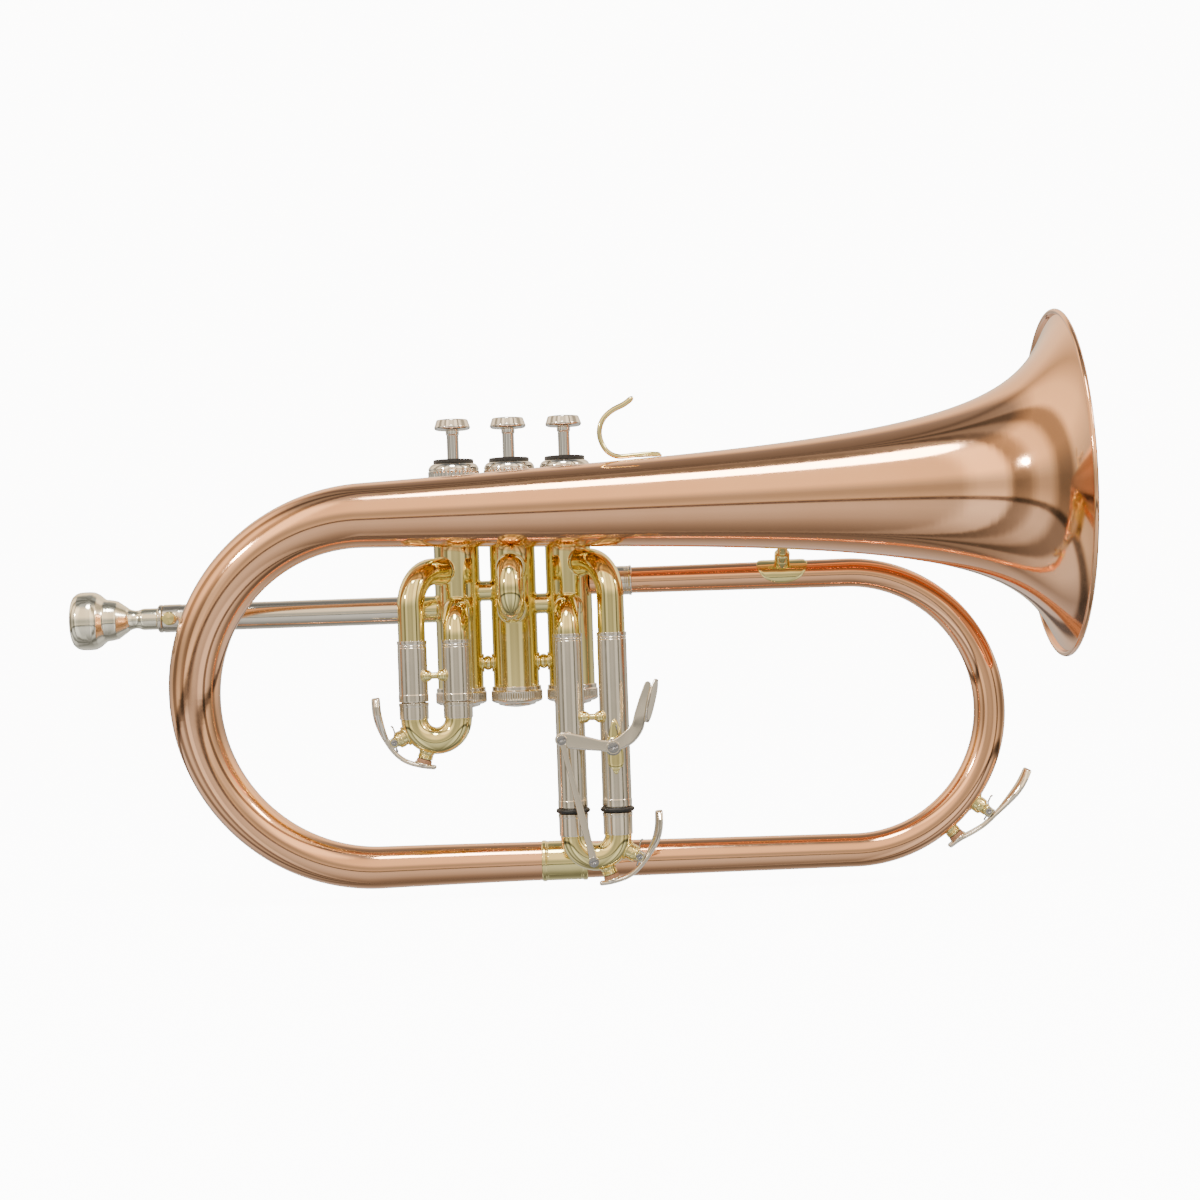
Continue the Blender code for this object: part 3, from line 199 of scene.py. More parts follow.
def divided(outline, longest, loop):
    """The outline with points added, so that no step along it is longer than longest."""
    if loop:
        outline = np.concatenate([outline, outline[:1]])
    step = np.linalg.norm(np.diff(outline, axis=0), axis=1)
    run = np.concatenate([[0], np.cumsum(step)])
    even = np.linspace(0, run[-1], int(run[-1] / longest) + 2)
    at = np.unique(np.round(np.concatenate([run, even]), 9))
    out = np.stack([np.interp(at, run, outline[:, k]) for k in (0, 1)], axis=1)
    return out[:-1] if loop else out


def circle(sides):
    return np.linspace(0, 2 * np.pi, sides, endpoint=False)


def boxy(wave, power):
    """The wave with its size raised to a power and its sign kept. A low power squares it up."""
    return np.sign(wave) * np.abs(wave) ** power


def across_of(axis, hint):
    """Two unit vectors at right angles to the axis. The first lies nearest to hint."""
    first = hint - axis * (axis @ hint)
    first = first / np.linalg.norm(first)
    return first, np.cross(axis, first)


def turned(outline, at, towards=Z, sides=72, cut=0.25, knurl=None):
    """An outline of (radius, height) in millimetres, turned about the axis through at, in metres.

    A point of it is the place on the axis at its height, plus its radius in the direction of the
    turn. An outline that starts away from the axis is closed into a ring. knurl holds a count, a
    depth and two heights, and waves the radius between those heights with the turn.
    """
    outline = np.asarray(outline, float)
    loop = outline[0, 0] > 0
    outline = eased(outline, cut, loop)
    axis = np.asarray(towards, float) / np.linalg.norm(towards)
    hint = Y if abs(axis @ Y) < 0.9 else Z
    first, second = across_of(axis, hint)
    angle = circle(sides)
    radius = np.broadcast_to(outline[:, :1], (len(outline), sides)).copy()
    if knurl:
        count, depth, low, high = knurl
        outline = divided(outline, (high - low) / 8, loop)
        radius = np.broadcast_to(outline[:, :1], (len(outline), sides)).copy()
        height, size = outline[:, 1], outline[:, 0]
        inside = np.clip(np.minimum(height - low, high - height) / (0.12 * (high - low)), 0, 1)
        skinned = inside * (size > size.max() - 3 * depth)
        wave = 0.5 + 0.5 * np.cos(count * angle)
        radius -= skinned[:, None] * depth * wave**2
    spokes = np.cos(angle)[:, None] * first + np.sin(angle)[:, None] * second
    rows = np.asarray(at) + axis * outline[:, 1:] * MM
    return skin(rows[:, None] + radius[..., None] * MM * spokes, loop)


def line_of(path, hint):
    """A line to bend outlines along: distance run, points, and two directions across it."""
    path = np.asarray(path, float)
    step = np.linalg.norm(np.diff(path, axis=0), axis=1)
    path = path[np.concatenate([[True], step > SMALLEST])]
    step = step[step > SMALLEST]
    run = np.concatenate([[0], np.cumsum(step)])
    tangent = np.gradient(path, run, axis=0)
    tangent /= np.linalg.norm(tangent, axis=1, keepdims=True)
    first = hint - (tangent @ hint)[:, None] * tangent
    first /= np.linalg.norm(first, axis=1, keepdims=True)
    return {"run": run, "at": path, "first": first, "second": np.cross(tangent, first)}


def along(line, distance):
    """The point of the line, and the two directions across it, at each distance."""
    found = []
    for key in ("at", "first", "second"):
        table = line[key]
        columns = [np.interp(distance, line["run"], table[:, k]) for k in range(3)]
        found.append(np.stack(columns, axis=-1))
    return found


def carried(line, outline, sides, loop=False):
    """An outline of (radius, distance) in millimetres, as a ring at each distance on the line.

    A point of it is the line's point at that distance, plus the radius times the cosine of the
    turn in the first direction across and its sine in the second.
    """
    at, first, second = along(line, outline[:, 1] * MM)
    angle = circle(sides)[None, :, None]
    spokes = np.cos(angle) * first[:, None] + np.sin(angle) * second[:, None]
    return skin(at[:, None] + outline[:, :1, None] * MM * spokes, loop)


def bent(line, outline, sides=48, cut=0.2, longest=1.2):
    """An outline carried along the line, with eased corners and no step over longest."""
    outline = np.asarray(outline, float)
    loop = outline[0, 0] > 0
    return carried(line, divided(eased(outline, cut, loop), longest, loop), sides, loop)


def tube_outline(outer, inner):
    """A closed outline out along (distance, radius) stations and back at the inner radii."""
    there = [(r, s) for s, r in outer]
    back = [(r, s) for s, r in reversed(inner)]
    return there + back


def pipe(line, radius, bore, sides=48):
    """A plain tube along the whole line, in millimetres."""
    end = line["run"][-1] / MM
    outline = tube_outline([(0, radius), (end, radius)], [(0, bore), (end, bore)])
    return bent(line, outline, sides)


def rod(path, radius, sides=16, hint=Y, tip=1.0):
    """A wire along the path. At each end its radius falls to nothing as a quarter circle does."""
    line = line_of(path, hint)
    whole = line["run"][-1] / MM
    radius = np.broadcast_to(np.asarray(radius, float), (2,))
    phi = np.linspace(0, np.pi / 2, 6)
    head = np.stack([radius[0] * np.sin(phi), radius[0] * tip * (1 - np.cos(phi))], axis=1)
    tail = np.stack([radius[1] * np.cos(phi), whole - radius[1] * tip * (1 - np.sin(phi))], axis=1)
    return carried(line, divided(np.concatenate([head, tail]), 0.5, False), sides)


# %% Paths
def straight(start, end, steps=2):
    share = np.linspace(0, 1, steps)[:, None]
    return np.asarray(start) * (1 - share) + np.asarray(end) * share


def arc(centre, radius, first, second, start, end, steps=48):
    """Points on a circle: the centre, plus the angle's cosine one way and its sine the other."""
    angle = np.radians(np.linspace(start, end, steps))[:, None]
    return np.asarray(centre) + radius * (np.cos(angle) * first + np.sin(angle) * second)


def smooth_step(share):
    share = np.clip(share, 0, 1)
    return share * share * (3 - 2 * share)


def through(points, steps=12):
    """A smooth path of cubic pieces through the points, with slopes from their neighbours."""
    points = np.asarray(points, float)
    slope = np.gradient(points, axis=0)
    t = np.linspace(0, 1, steps, endpoint=False)[None, :, None]
    a, b, m, n = points[:-1, None], points[1:, None], slope[:-1, None], slope[1:, None]
    curve = (2 * t**3 - 3 * t**2 + 1) * a + (t**3 - 2 * t**2 + t) * m
    curve = curve + (3 * t**2 - 2 * t**3) * b + (t**3 - t**2) * n
    return np.concatenate([curve.reshape(-1, points.shape[1]), points[-1:]])


# %% Pressed plates
def pressed(path, widths, thickness, hint, cup=0.0, ribs=0, rib_depth=0.0):
    """A flat bar along the path, in millimetres, wide in the direction of hint.

    Its section is a rounded box: half the width times a low power of the cosine, and half the
    thickness times a low power of the sine. cup bends the section by the square of the place
    across it, and ribs waves it, both growing towards the path's end. The ends close as quarter
    circles do.
    """
    line = line_of(path, hint)
    whole = line["run"][-1]
    phi = np.linspace(0, np.pi / 2, 5)
    tip = 0.5 * thickness * MM * (1 - np.cos(phi))
    body = np.linspace(tip[-1], whole - tip[-1], 5 * len(path))[1:-1]
    s = np.concatenate([tip, body, whole - tip[::-1]])
    close = np.concatenate([np.sin(phi), np.ones(len(body)), np.sin(phi[::-1])])[:, None]
    at, first, second = along(line, s)
    share = s / whole
    half = np.interp(share, np.linspace(0, 1, len(widths)), widths)[:, None] / 2
    half = half - 0.5 * thickness * (1 - close)
    turn = circle(40)[None, :]
    flat, thick = boxy(np.cos(turn), 0.4), boxy(np.sin(turn), 0.5)
    lift = smooth_step((share - 0.4) / 0.4)[:, None]
    rise = lift * (cup * flat**2 + rib_depth * np.cos(ribs * np.pi * flat))
    up = thick * close * thickness / 2 + rise
    grid = at[:, None] + first[:, None] * (half * flat)[..., None] * MM
    return skin(grid + second[:, None] * up[..., None] * MM)


# %% [markdown]
# ## Finishes
#
# Every metal here is a mirror with a story: it was drawn or spun, buffed, and lacquered or plated.
# The buffing leaves lines far finer than a hair along the piece, the lacquer pools a little, and
# the alloy's colour drifts. So each finish mixes two close colours with a broad noise, lets the
# roughness wander with another, and adds a very low bump stretched along the surface's own
# coordinates. The clear coat on top is the lacquer.

# %% A buffed metal
def add_node(tree, kind, **settings):
    made = tree.nodes.new(kind)
    for key, value in settings.items():
        setattr(made, key, value)
    return made


def noise(tree, source, scale, detail=3.0, stretch=(1, 1, 1)):
    """A noise whose pattern repeats scale times a metre, pulled out by stretch."""
    turn = add_node(tree, "ShaderNodeMapping")
    turn.inputs["Scale"].default_value = stretch
    made = add_node(tree, "ShaderNodeTexNoise")
    made.inputs["Scale"].default_value = scale
    made.inputs["Detail"].default_value = detail
    tree.links.new(source, turn.inputs["Vector"])
    tree.links.new(turn.outputs["Vector"], made.inputs["Vector"])
    return made.outputs["Fac"]


def spread(tree, value, low, high, start=0.3, end=0.7):
    """The value between start and end, carried to low and high."""
    made = add_node(tree, "ShaderNodeMapRange")
    limits = {"From Min": start, "From Max": end, "To Min": low, "To Max": high}
    for key, number in limits.items():
        made.inputs[key].default_value = number
    tree.links.new(value, made.inputs["Value"])
    return made.outputs["Result"]


def shader_of(name):
    made = bpy.data.materials.new(name)
    made.use_nodes = True
    tree = made.node_tree
    coordinates = add_node(tree, "ShaderNodeTexCoord")
    return made, tree, tree.nodes["Principled BSDF"], coordinates


def blend_colours(tree, value, first, second):
    mixed = add_node(tree, "ShaderNodeMix", data_type="RGBA")
    mixed.inputs["A"].default_value = (*first, 1)
    mixed.inputs["B"].default_value = (*second, 1)
    tree.links.new(value, mixed.inputs["Factor"])
    return mixed.outputs["Result"]


def add_bump(tree, shader, height, depth):
    bump = add_node(tree, "ShaderNodeBump")
    bump.inputs["Distance"].default_value = depth
    bump.inputs["Strength"].default_value = 1.0
    tree.links.new(height, bump.inputs["Height"])
    tree.links.new(bump.outputs["Normal"], shader.inputs["Normal"])


POOLS, HAZE, BUFFING = 22.0, 240.0, 900.0  # waves a metre


def buffed_metal(name, colour, drift, rough, coat, line_depth=0.4e-6):
    """A buffed metal: colour drifts towards drift, roughness wanders between the two of rough."""
    made, tree, shader, where = shader_of(name)
    broad = noise(tree, where.outputs["Object"], POOLS, 4.0)
    tree.links.new(
        blend_colours(tree, spread(tree, broad, 0, 1, 0.35, 0.65), colour, drift),
        shader.inputs["Base Color"],
    )
    fine = noise(tree, where.outputs["Object"], HAZE, 5.0)
    tree.links.new(spread(tree, fine, *rough), shader.inputs["Roughness"])
    lines = noise(tree, where.outputs["UV"], BUFFING, 4.0, (0.03, 1, 1))
    add_bump(tree, shader, lines, line_depth)
    shader.inputs["Metallic"].default_value = 1.0
    shader.inputs["Coat Weight"].default_value = coat
    shader.inputs["Coat Roughness"].default_value = 0.03
    return made


# %% Felt, rubber, cork and pearl
def soft_finish(name, colour, drift, rough, grain, depth, sheen=0.0):
    """A matt finish whose colour and height follow one noise with grain spots a metre."""
    made, tree, shader, where = shader_of(name)
    spots = noise(tree, where.outputs["Object"], grain, 6.0)
    tree.links.new(
        blend_colours(tree, spread(tree, spots, 0, 1), colour, drift), shader.inputs["Base Color"]
    )
    shader.inputs["Roughness"].default_value = rough
    shader.inputs["Sheen Weight"].default_value = sheen
    add_bump(tree, shader, spots, depth)
    return made


def pearl_finish():
    """Mother of pearl: warped waves of cream and grey under a hard gloss."""
    made, tree, shader, where = shader_of("button_pearl")
    waves = add_node(tree, "ShaderNodeTexWave", wave_type="BANDS", bands_direction="DIAGONAL")
    waves.inputs["Scale"].default_value = 110.0
    waves.inputs["Distortion"].default_value = 9.0
    waves.inputs["Detail"].default_value = 3.0
    tree.links.new(where.outputs["Object"], waves.inputs["Vector"])
    colours = blend_colours(tree, waves.outputs["Fac"], (0.72, 0.70, 0.63), (0.56, 0.57, 0.54))
    tree.links.new(colours, shader.inputs["Base Color"])
    shader.inputs["Roughness"].default_value = 0.18
    shader.inputs["Coat Weight"].default_value = 0.8
    shader.inputs["Coat Roughness"].default_value = 0.04
    return made


# %% The finishes of this flugelhorn
finishes = {
    "rose_brass": buffed_metal(
        "lacquered_rose_brass", (0.94, 0.50, 0.265), (0.91, 0.47, 0.24), (0.07, 0.115), 0.35
    ),
    "yellow_brass": buffed_metal(
        "lacquered_yellow_brass", (0.86, 0.735, 0.31), (0.82, 0.69, 0.27), (0.06, 0.10), 0.35
    ),
    "nickel": buffed_metal(
        "nickel_silver", (0.81, 0.735, 0.61), (0.77, 0.69, 0.565), (0.09, 0.16), 0.2, 0.7e-6
    ),
    "bright_nickel": buffed_metal(
        "polished_nickel_plate", (0.82, 0.79, 0.72), (0.77, 0.73, 0.66), (0.05, 0.11), 0.15
    ),
    "silver": buffed_metal(
        "silver_plate", (0.99, 0.93, 0.74), (0.96, 0.895, 0.69), (0.10, 0.17), 0.1
    ),
    "steel": buffed_metal(
        "spring_steel", (0.46, 0.46, 0.47), (0.34, 0.34, 0.35), (0.18, 0.32), 0.0, 1.5e-6
    ),
    "felt": soft_finish(
        "black_felt", (0.012, 0.012, 0.012), (0.035, 0.033, 0.03), 0.95, 2600.0, 9e-5, 0.3
    ),
    "rubber": soft_finish(
        "black_rubber", (0.012, 0.012, 0.012), (0.022, 0.022, 0.022), 0.42, 900.0, 4e-6
    ),
    "cork": soft_finish(
        "water_key_cork", (0.42, 0.22, 0.12), (0.25, 0.12, 0.065), 0.8, 1500.0, 7e-5
    ),
    "pearl": pearl_finish(),
}
SLOT_OF = {key: key for key in ("rose_brass", "yellow_brass", "nickel", "silver", "felt", "steel")}
SLOT_OF.update(bright_nickel="nickel", rubber="felt", cork="felt", pearl="silver")
print("finishes:", ", ".join(finishes))

# %% [markdown]
# ## The bell and its bow
#
# The bell, its long conical tube and the left bow are one sheet of rose brass, hammered round a
# mandrel and spun. Towards the rim the radius grows with the inverse square root of the distance,
# which is the flare every bell maker knows. Behind the throat the tube narrows slowly. The rim is
# rolled back over a wire, so it ends in a bead.

# %% The line that the bell tube follows
RIM_X, RIM_RADIUS, FLARE_LENGTH = 242.6, 76.2, 12.67
THROAT_X, THROAT_POWER = 10.0, 0.689
BELL_Y, BELL_HEIGHT, BELL_RISE, BOTTOM_Z = -30.0, 42.3, 3.5, -115.5
LEFT_BOW_X, FERRULE_LEFT, FERRULE_RIGHT, TAIL_RADIUS = -63.1, 8.8, 29.3, 8.0
SHEET, BEAD_RADIUS, TAIL = 0.6, 1.15, 9.9


def bell_radius(distance):
    """Outer radius at a distance along the tube from the rim, in millimetres.

    Up to the throat it is the rim's radius times the square root of a fixed length over the
    distance plus that length. Behind the throat it falls with a lower power of the distance.
    """
    throat = RIM_X - THROAT_X
    flare = RIM_RADIUS * np.sqrt(FLARE_LENGTH / (np.minimum(distance, throat) + FLARE_LENGTH))
    return flare * (throat / np.maximum(distance, throat)) ** THROAT_POWER


def bell_axis_z(x):
    return BELL_HEIGHT + BELL_RISE * (x - LEFT_BOW_X) / (RIM_X - LEFT_BOW_X)


def bell_path():
    """From inside the bottom ferrule round the left bow to the rim, leaning out to the right."""
    radius = (BELL_HEIGHT - BOTTOM_Z) / 2
    bottom = straight((FERRULE_LEFT + TAIL, 0, BOTTOM_Z), (LEFT_BOW_X, 0, BOTTOM_Z), 50)
    bow = arc((LEFT_BOW_X, 0, BOTTOM_Z + radius), radius, X, Z, -90, -270, 160)
    x = np.linspace(LEFT_BOW_X, RIM_X, 260)
    cone = np.stack([x, 0 * x, bell_axis_z(x)], axis=1)
    path = np.concatenate([bottom, bow[1:], cone[1:]])
    run = np.concatenate([[0], np.cumsum(np.linalg.norm(np.diff(path, axis=0), axis=1))]) - TAIL
    path[:, 1] = BELL_Y * smooth_step(run / run[len(bottom) + len(bow) - 2])
    return path * MM


bell_line = line_of(bell_path(), Y)
bell_run = bell_line["run"][-1] / MM
print("the bell tube is", round(bell_run), "mm long, with", len(bell_line["run"]), "stations")

# %% The bell
def bell_outline():
    """Out along the outer wall, round the rolled bead, and back along the bore."""
    far = np.linspace(bell_run - TAIL, 60, 240)
    outer_run = np.concatenate([far, np.geomspace(60, 0.85, 100)[1:]])
    bore_run = np.concatenate([far, np.geomspace(60, 0.3, 100)[1:]])[::-1]
    slope = 0.5 * bell_radius(bore_run) / (np.minimum(bore_run, RIM_X - THROAT_X) + FLARE_LENGTH)
    bore = bell_radius(bore_run) - SHEET * np.sqrt(1 + slope**2)
    turn = np.radians(np.linspace(-75, 215, 26))
    roll_radius = RIM_RADIUS - BEAD_RADIUS + BEAD_RADIUS * np.sin(turn)
    roll_run = bell_run - BEAD_RADIUS - BEAD_RADIUS * np.cos(turn)
    radius = np.concatenate([[TAIL_RADIUS] * 2, bell_radius(outer_run), roll_radius, bore])
    radius = np.concatenate([radius, [TAIL_RADIUS - SHEET] * 2])
    run = np.concatenate([[0, TAIL - 0.1], bell_run - outer_run, roll_run, bell_run - bore_run])
    return np.stack([radius, np.concatenate([run, [TAIL - 0.1, 0]])], axis=1)


put(
    "bell_and_left_bow",
    bent(bell_line, bell_outline(), sides=160, cut=0, longest=3.0),
    "rose_brass",
    "root",
    ["bell"],
)

# %% [markdown]
# ## The main tube and its ferrules
#
# The tube that leaves the third valve widens evenly round the right bow and meets the bell's tail
# inside a ferrule. A linear taper carried along a line is all it takes. The ferrules are turned
# from bar, with a bead at each end or a few fine grooves.

# %% The main tube
VALVE_X = np.array([-25.15, 0.0, 25.15])
CASING_RADIUS, PORT_DEPTH = 10.3, 9.4
RIGHT_BOW_X, RIGHT_BOW_RADIUS = 150.5, 62.8
RIGHT_BOW_Z = BOTTOM_Z + RIGHT_BOW_RADIUS
EXIT_Z = RIGHT_BOW_Z + RIGHT_BOW_RADIUS
MAIN_START, MAIN_END, TUBE_WALL = 5.8, 8.3, 0.7

upper = straight((VALVE_X[2] + PORT_DEPTH, 0, EXIT_Z), (RIGHT_BOW_X, 0, EXIT_Z), 60)
bow = arc((RIGHT_BOW_X, 0, RIGHT_BOW_Z), RIGHT_BOW_RADIUS, X, Z, 90, -90, 150)
lower = straight((RIGHT_BOW_X, 0, BOTTOM_Z), (FERRULE_RIGHT - TAIL, 0, BOTTOM_Z), 60)
main_line = line_of(np.concatenate([upper, bow, lower]) * MM, Y)
main_run = main_line["run"][-1] / MM
taper_end = main_run - TAIL
main_outer = [(0, MAIN_START), (taper_end, MAIN_END), (taper_end + 0.2, TAIL_RADIUS)]
main_outer.append((main_run, TAIL_RADIUS))
main_bore = [(s, r - TUBE_WALL) for s, r in main_outer]
put(
    "main_tube_and_right_bow",
    bent(main_line, tube_outline(main_outer, main_bore), sides=72, cut=0.1),
    "rose_brass",
    "root",
    ["main_tube"],
)
print("the main tube is", round(main_run), "mm long")


# %% The ferrules
def main_radius(x):
    """Outer radius of the main tube's upper leg at x."""
    return MAIN_START + (MAIN_END - MAIN_START) * (x - VALVE_X[2] - PORT_DEPTH) / taper_end


length = FERRULE_RIGHT - FERRULE_LEFT
outline = [(8.1, 0), (8.9, 0), (9.25, 0.5), (9.25, 1.7), (8.95, 2.2), (8.95, 2.6), (8.8, 2.8)]
outline += [(8.95, 3.0), (8.95, length - 3.0), (8.8, length - 2.8), (8.95, length - 2.6)]
outline += [(8.95, length - 2.2), (9.25, length - 1.7), (9.25, length - 0.5), (8.9, length)]
outline += [(8.1, length)]
at = np.array((FERRULE_LEFT, 0, BOTTOM_Z)) * MM
surface = turned(outline, at, X, 96, 0.15)
put("bottom_ferrule_sleeve", surface, "yellow_brass", "root", ["bottom_ferrule"])

low, high = (v[0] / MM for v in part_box("exit_ferrule"))
bore = main_radius(high) + 0.1
length = high - low
outline = [(bore, 0), (bore + 0.55, 0), (bore + 0.75, 0.7), (bore + 0.55, 1.3)]
outline.append((bore + 0.6, length - 3.4))
for groove in (3.2, 2.4, 1.6):
    outline += [(bore + 0.6, length - groove - 0.2), (bore + 0.4, length - groove)]
    outline += [(bore + 0.6, length - groove + 0.2)]
outline += [(bore + 0.8, length - 1.0), (bore + 0.8, length - 0.3)]
outline += [(bore + 0.3, length), (bore, length)]
at = np.array((low, 0, EXIT_Z)) * MM
put("exit_tube_ferrule", turned(outline, at, X, 72, 0.1), "nickel", "root", ["exit_ferrule"])

# %% [markdown]
# ## The valve block
#
# Three brass casings stand side by side. Each has a screwed cap at either end, knurled so that
# fingers can grip it, and a black felt washer under its button. A spring lifts the piston. The
# knurling is real relief here: the radius drops with a power of the cosine of a multiple of the
# turn.

# %% Casings, caps and felts
CASING_TOP, CASING_BOTTOM, CASING_BORE = 60.8, -41.5, 9.1
CROWN, BUTTON_TOP, STEM_RADIUS = 65.4, 85.4, 2.7


def casing_outline():
    band = [(CASING_RADIUS, CASING_BOTTOM), (CASING_RADIUS, CASING_TOP)]
    return [(CASING_BORE, CASING_BOTTOM), *band, (CASING_BORE, CASING_TOP)]


def top_cap_outline():
    """A screw cap with a straight skirt, a grooved shoulder and a domed crown."""
    hole, skirt = STEM_RADIUS + 0.5, CASING_TOP - 6.4
    outline = [(10.4, skirt), (11.3, skirt), (11.55, skirt + 0.5), (11.55, skirt + 1.3)]
    outline += [(11.25, skirt + 1.6), (11.25, skirt + 2.0), (11.6, skirt + 2.3), (11.6, 61.9)]
    outline += [(11.2, 62.1), (11.2, 62.4), (11.45, 62.6), (11.3, 63.4), (10.9, 64.2)]
    outline += [(10.3, 64.9), (9.6, 65.3), (9.2, CROWN), (hole, CROWN)]
    return [*outline, (hole, 61.1), (10.4, 61.1)]


def bottom_cap_outline():
    """A knurled band, a plain ring above it, and a domed floor with a vent hole."""
    outline = [(10.4, -35.9), (11.0, -35.9), (11.1, -36.2), (11.1, -37.7), (11.55, -38.1)]
    outline += [(11.55, -42.2), (11.1, -42.8), (9.8, -43.4), (8.6, -43.6), (8.2, -44.3)]
    outline += [(5.5, -45.0), (1.5, -45.5), (1.5, -41.8), (10.4, -41.8)]
    return outline


def felt_outline():
    hole = STEM_RADIUS + 0.5
    return [(hole, 65.5), (9.1, 65.5), (9.15, 66.4), (8.95, 67.3), (hole, 67.3)]


for number, x in enumerate(VALVE_X, start=1):
    at = np.array((x, 0, 0)) * MM
    surface = turned(casing_outline(), at, Z, 96)
    put(f"casing_tube_{number}", surface, "yellow_brass", "root", [f"valve_casing_{number}"])
    surface = turned(top_cap_outline(), at, Z, 288, 0.25, (40, 0.4, 57.2, 61.8))
    put(f"knurled_top_cap_{number}", surface, "bright_nickel", "root", [f"top_cap_{number}"])
    surface = turned(bottom_cap_outline(), at, Z, 288, 0.2, (60, 0.3, -42.0, -38.2))
    put(f"knurled_bottom_cap_{number}", surface, "nickel", "root", [f"bottom_cap_{number}"])
    surface = turned(felt_outline(), at, Z, 96, 0.4)
    put(f"felt_washer_{number}", surface, "felt", "root", [f"cap_felt_{number}"])

# %% [markdown]
# ## Pistons and buttons
#
# A piston and its stem ride together, and the button is screwed on top with a disc of pearl let
# into it. The piston is hidden in its casing, so its turned outline is enough.

# %% Pistons, stems and finger buttons
def piston_outline():
    radius, under = CASING_BORE - 0.3, BUTTON_TOP - 4.8
    outline = [(0, -12), (radius, -12), (radius, 40), (STEM_RADIUS, 40), (STEM_RADIUS, under - 2.4)]
    return [*outline, (STEM_RADIUS + 0.35, under - 2.0), (STEM_RADIUS + 0.35, under), (0, under)]


def button_outline():
    """A shallow bowl that slopes out to its lip, with a rim round the inlay."""
    foot = BUTTON_TOP - 4.8
    outline = [(0, foot), (7.2, foot), (8.0, foot + 0.5), (8.2, foot + 1.3), (7.9, foot + 2.0)]
    outline += [(7.1, BUTTON_TOP - 0.35), (6.75, BUTTON_TOP), (6.3, BUTTON_TOP - 0.05)]
    return [*outline, (6.1, BUTTON_TOP - 0.5), (0, BUTTON_TOP - 0.5)]


def pearl_outline():
    low, edge, crown = BUTTON_TOP - 0.8, BUTTON_TOP - 0.25, BUTTON_TOP - 0.02
    return [(0, low), (6.0, low), (6.0, edge), (0, crown)]


for number, x in enumerate(VALVE_X, start=1):
    at, body = np.array((x, 0, 0)) * MM, f"valve_{number}"
    surface = turned(piston_outline(), at, Z, 72)
    put(f"piston_and_stem_{number}", surface, "bright_nickel", body, [f"piston_{number}"])
    surface = turned(button_outline(), at, Z, 96, 0.35)
    nodes = [f"finger_button_{number}"]
    put(f"finger_button_shell_{number}", surface, "bright_nickel", body, nodes)
    put(f"button_inlay_{number}", turned(pearl_outline(), at, Z, 72, 0.2), "pearl", body)
print("buttons stand", BUTTON_TOP - CROWN, "mm above the caps")

# %% [markdown]
# ## Posts and braces
#
# Neighbouring tubes are held apart by small turned posts. Some have a ball in the middle and a
# flange at each end, others a ball at each end and a waist between. Where a post or a tube meets
# a round casing it sits on a curved foot. That foot is a flat shape in two coordinates, wrapped
# round the cylinder: the first runs along the tube, the second is the arc length round it.

# %% Curved feet and turned posts
def wrapped_foot(
    centre, axis, out, radius, half_length, half_width, thickness, power=1.0, sides=64
):
    """A thin plate wrapped on a tube, in millimetres.

    Its outline is a cosine along the tube and a sine round it, each to a power: 1 gives an
    ellipse, more gives pointed ends. Rows run from the middle of the outer face to its edge and
    back to the middle of the inner face.
    """
    side = np.cross(axis, out)
    turn = circle(sides)
    shape_u = boxy(np.cos(turn), power)
    shape_v = np.sin(turn)
    top = np.array([0.0, 0.3, 0.6, 0.85, 0.95, 0.985, 1.0])
    rise = np.array([1.0, 1.0, 1.0, 1.0, 0.9, 0.6, 0.0])
    share = np.concatenate([top, [1.0, 0.6, 0.0]])[:, None]
    height = np.concatenate([rise * thickness, [-0.4, -0.4, -0.4]])[:, None]
    u, v = share * shape_u * half_length, share * shape_v * half_width
    angle = v / radius
    reach = (radius + height) * np.cos(angle), (radius + height) * np.sin(angle)
    grid = centre + u[..., None] * axis + reach[0][..., None] * out + reach[1][..., None] * side
    return skin(grid * MM)


def baluster(start, end, radius, flange=1.0):
    """A post with a ball in its middle, waists on each side of it, and a flange at each end."""
    start, end = np.asarray(start, float), np.asarray(end, float)
    length = np.linalg.norm(end - start)
    phi = np.linspace(-0.8, 0.8, 15)
    ball = np.stack([radius * np.cos(phi), length / 2 + radius * np.sin(phi) * 0.8], axis=1)
    waist = 0.6 * radius
    low = [(0, 0), (radius * flange, 0), (radius * flange, 0.9), (waist * 1.25, 1.4), (waist, 1.6)]
    high = [(r, length - h) for r, h in reversed(low)]
    return turned([*low, *map(tuple, ball), *high], start * MM, end - start, 56, 0.12)


def two_ball_post(start, end, radius):
    """A short post with a ball at each end and a waist between."""
    start, end = np.asarray(start, float), np.asarray(end, float)
    length = np.linalg.norm(end - start)
    phi = np.linspace(-1.4, 1.0, 17)
    ball = np.stack([radius * np.cos(phi), radius * (1 + np.sin(phi))], axis=1)
    low = [(0, 0), *map(tuple, ball)]
    high = [(r, length - h) for r, h in reversed(low)]
    return turned([*low, *high], start * MM, end - start, 56, 0.1)


def fillet(centre, direction, radius, spread_by):
    """The silver-soldered root of a tube on a casing.

    Its ring grows from the tube's radius to spread_by more as it comes down, and each point of
    the foot is set on the casing by Pythagoras.
    """
    side = np.cross(Z, direction)
    turn = circle(64)
    t = np.linspace(0, 1, 8)[:, None]
    ring = radius - 0.1 + spread_by * (1 - t) ** 2
    above = 0.02 + spread_by * 1.25 * t**2
    ring = np.concatenate([ring, [[radius - 0.3]], [[radius - 0.3]]])
    above = np.concatenate([above, [[above[-1, 0]]], [[-0.7]]])
    a, b = ring * np.cos(turn), ring * np.sin(turn)
    depth = np.sqrt(np.maximum(CASING_RADIUS**2 - a**2, 0.3 * CASING_RADIUS**2)) + above
    grid = centre + a[..., None] * side + b[..., None] * Z + depth[..., None] * direction
    return skin(grid * MM, loop=True)


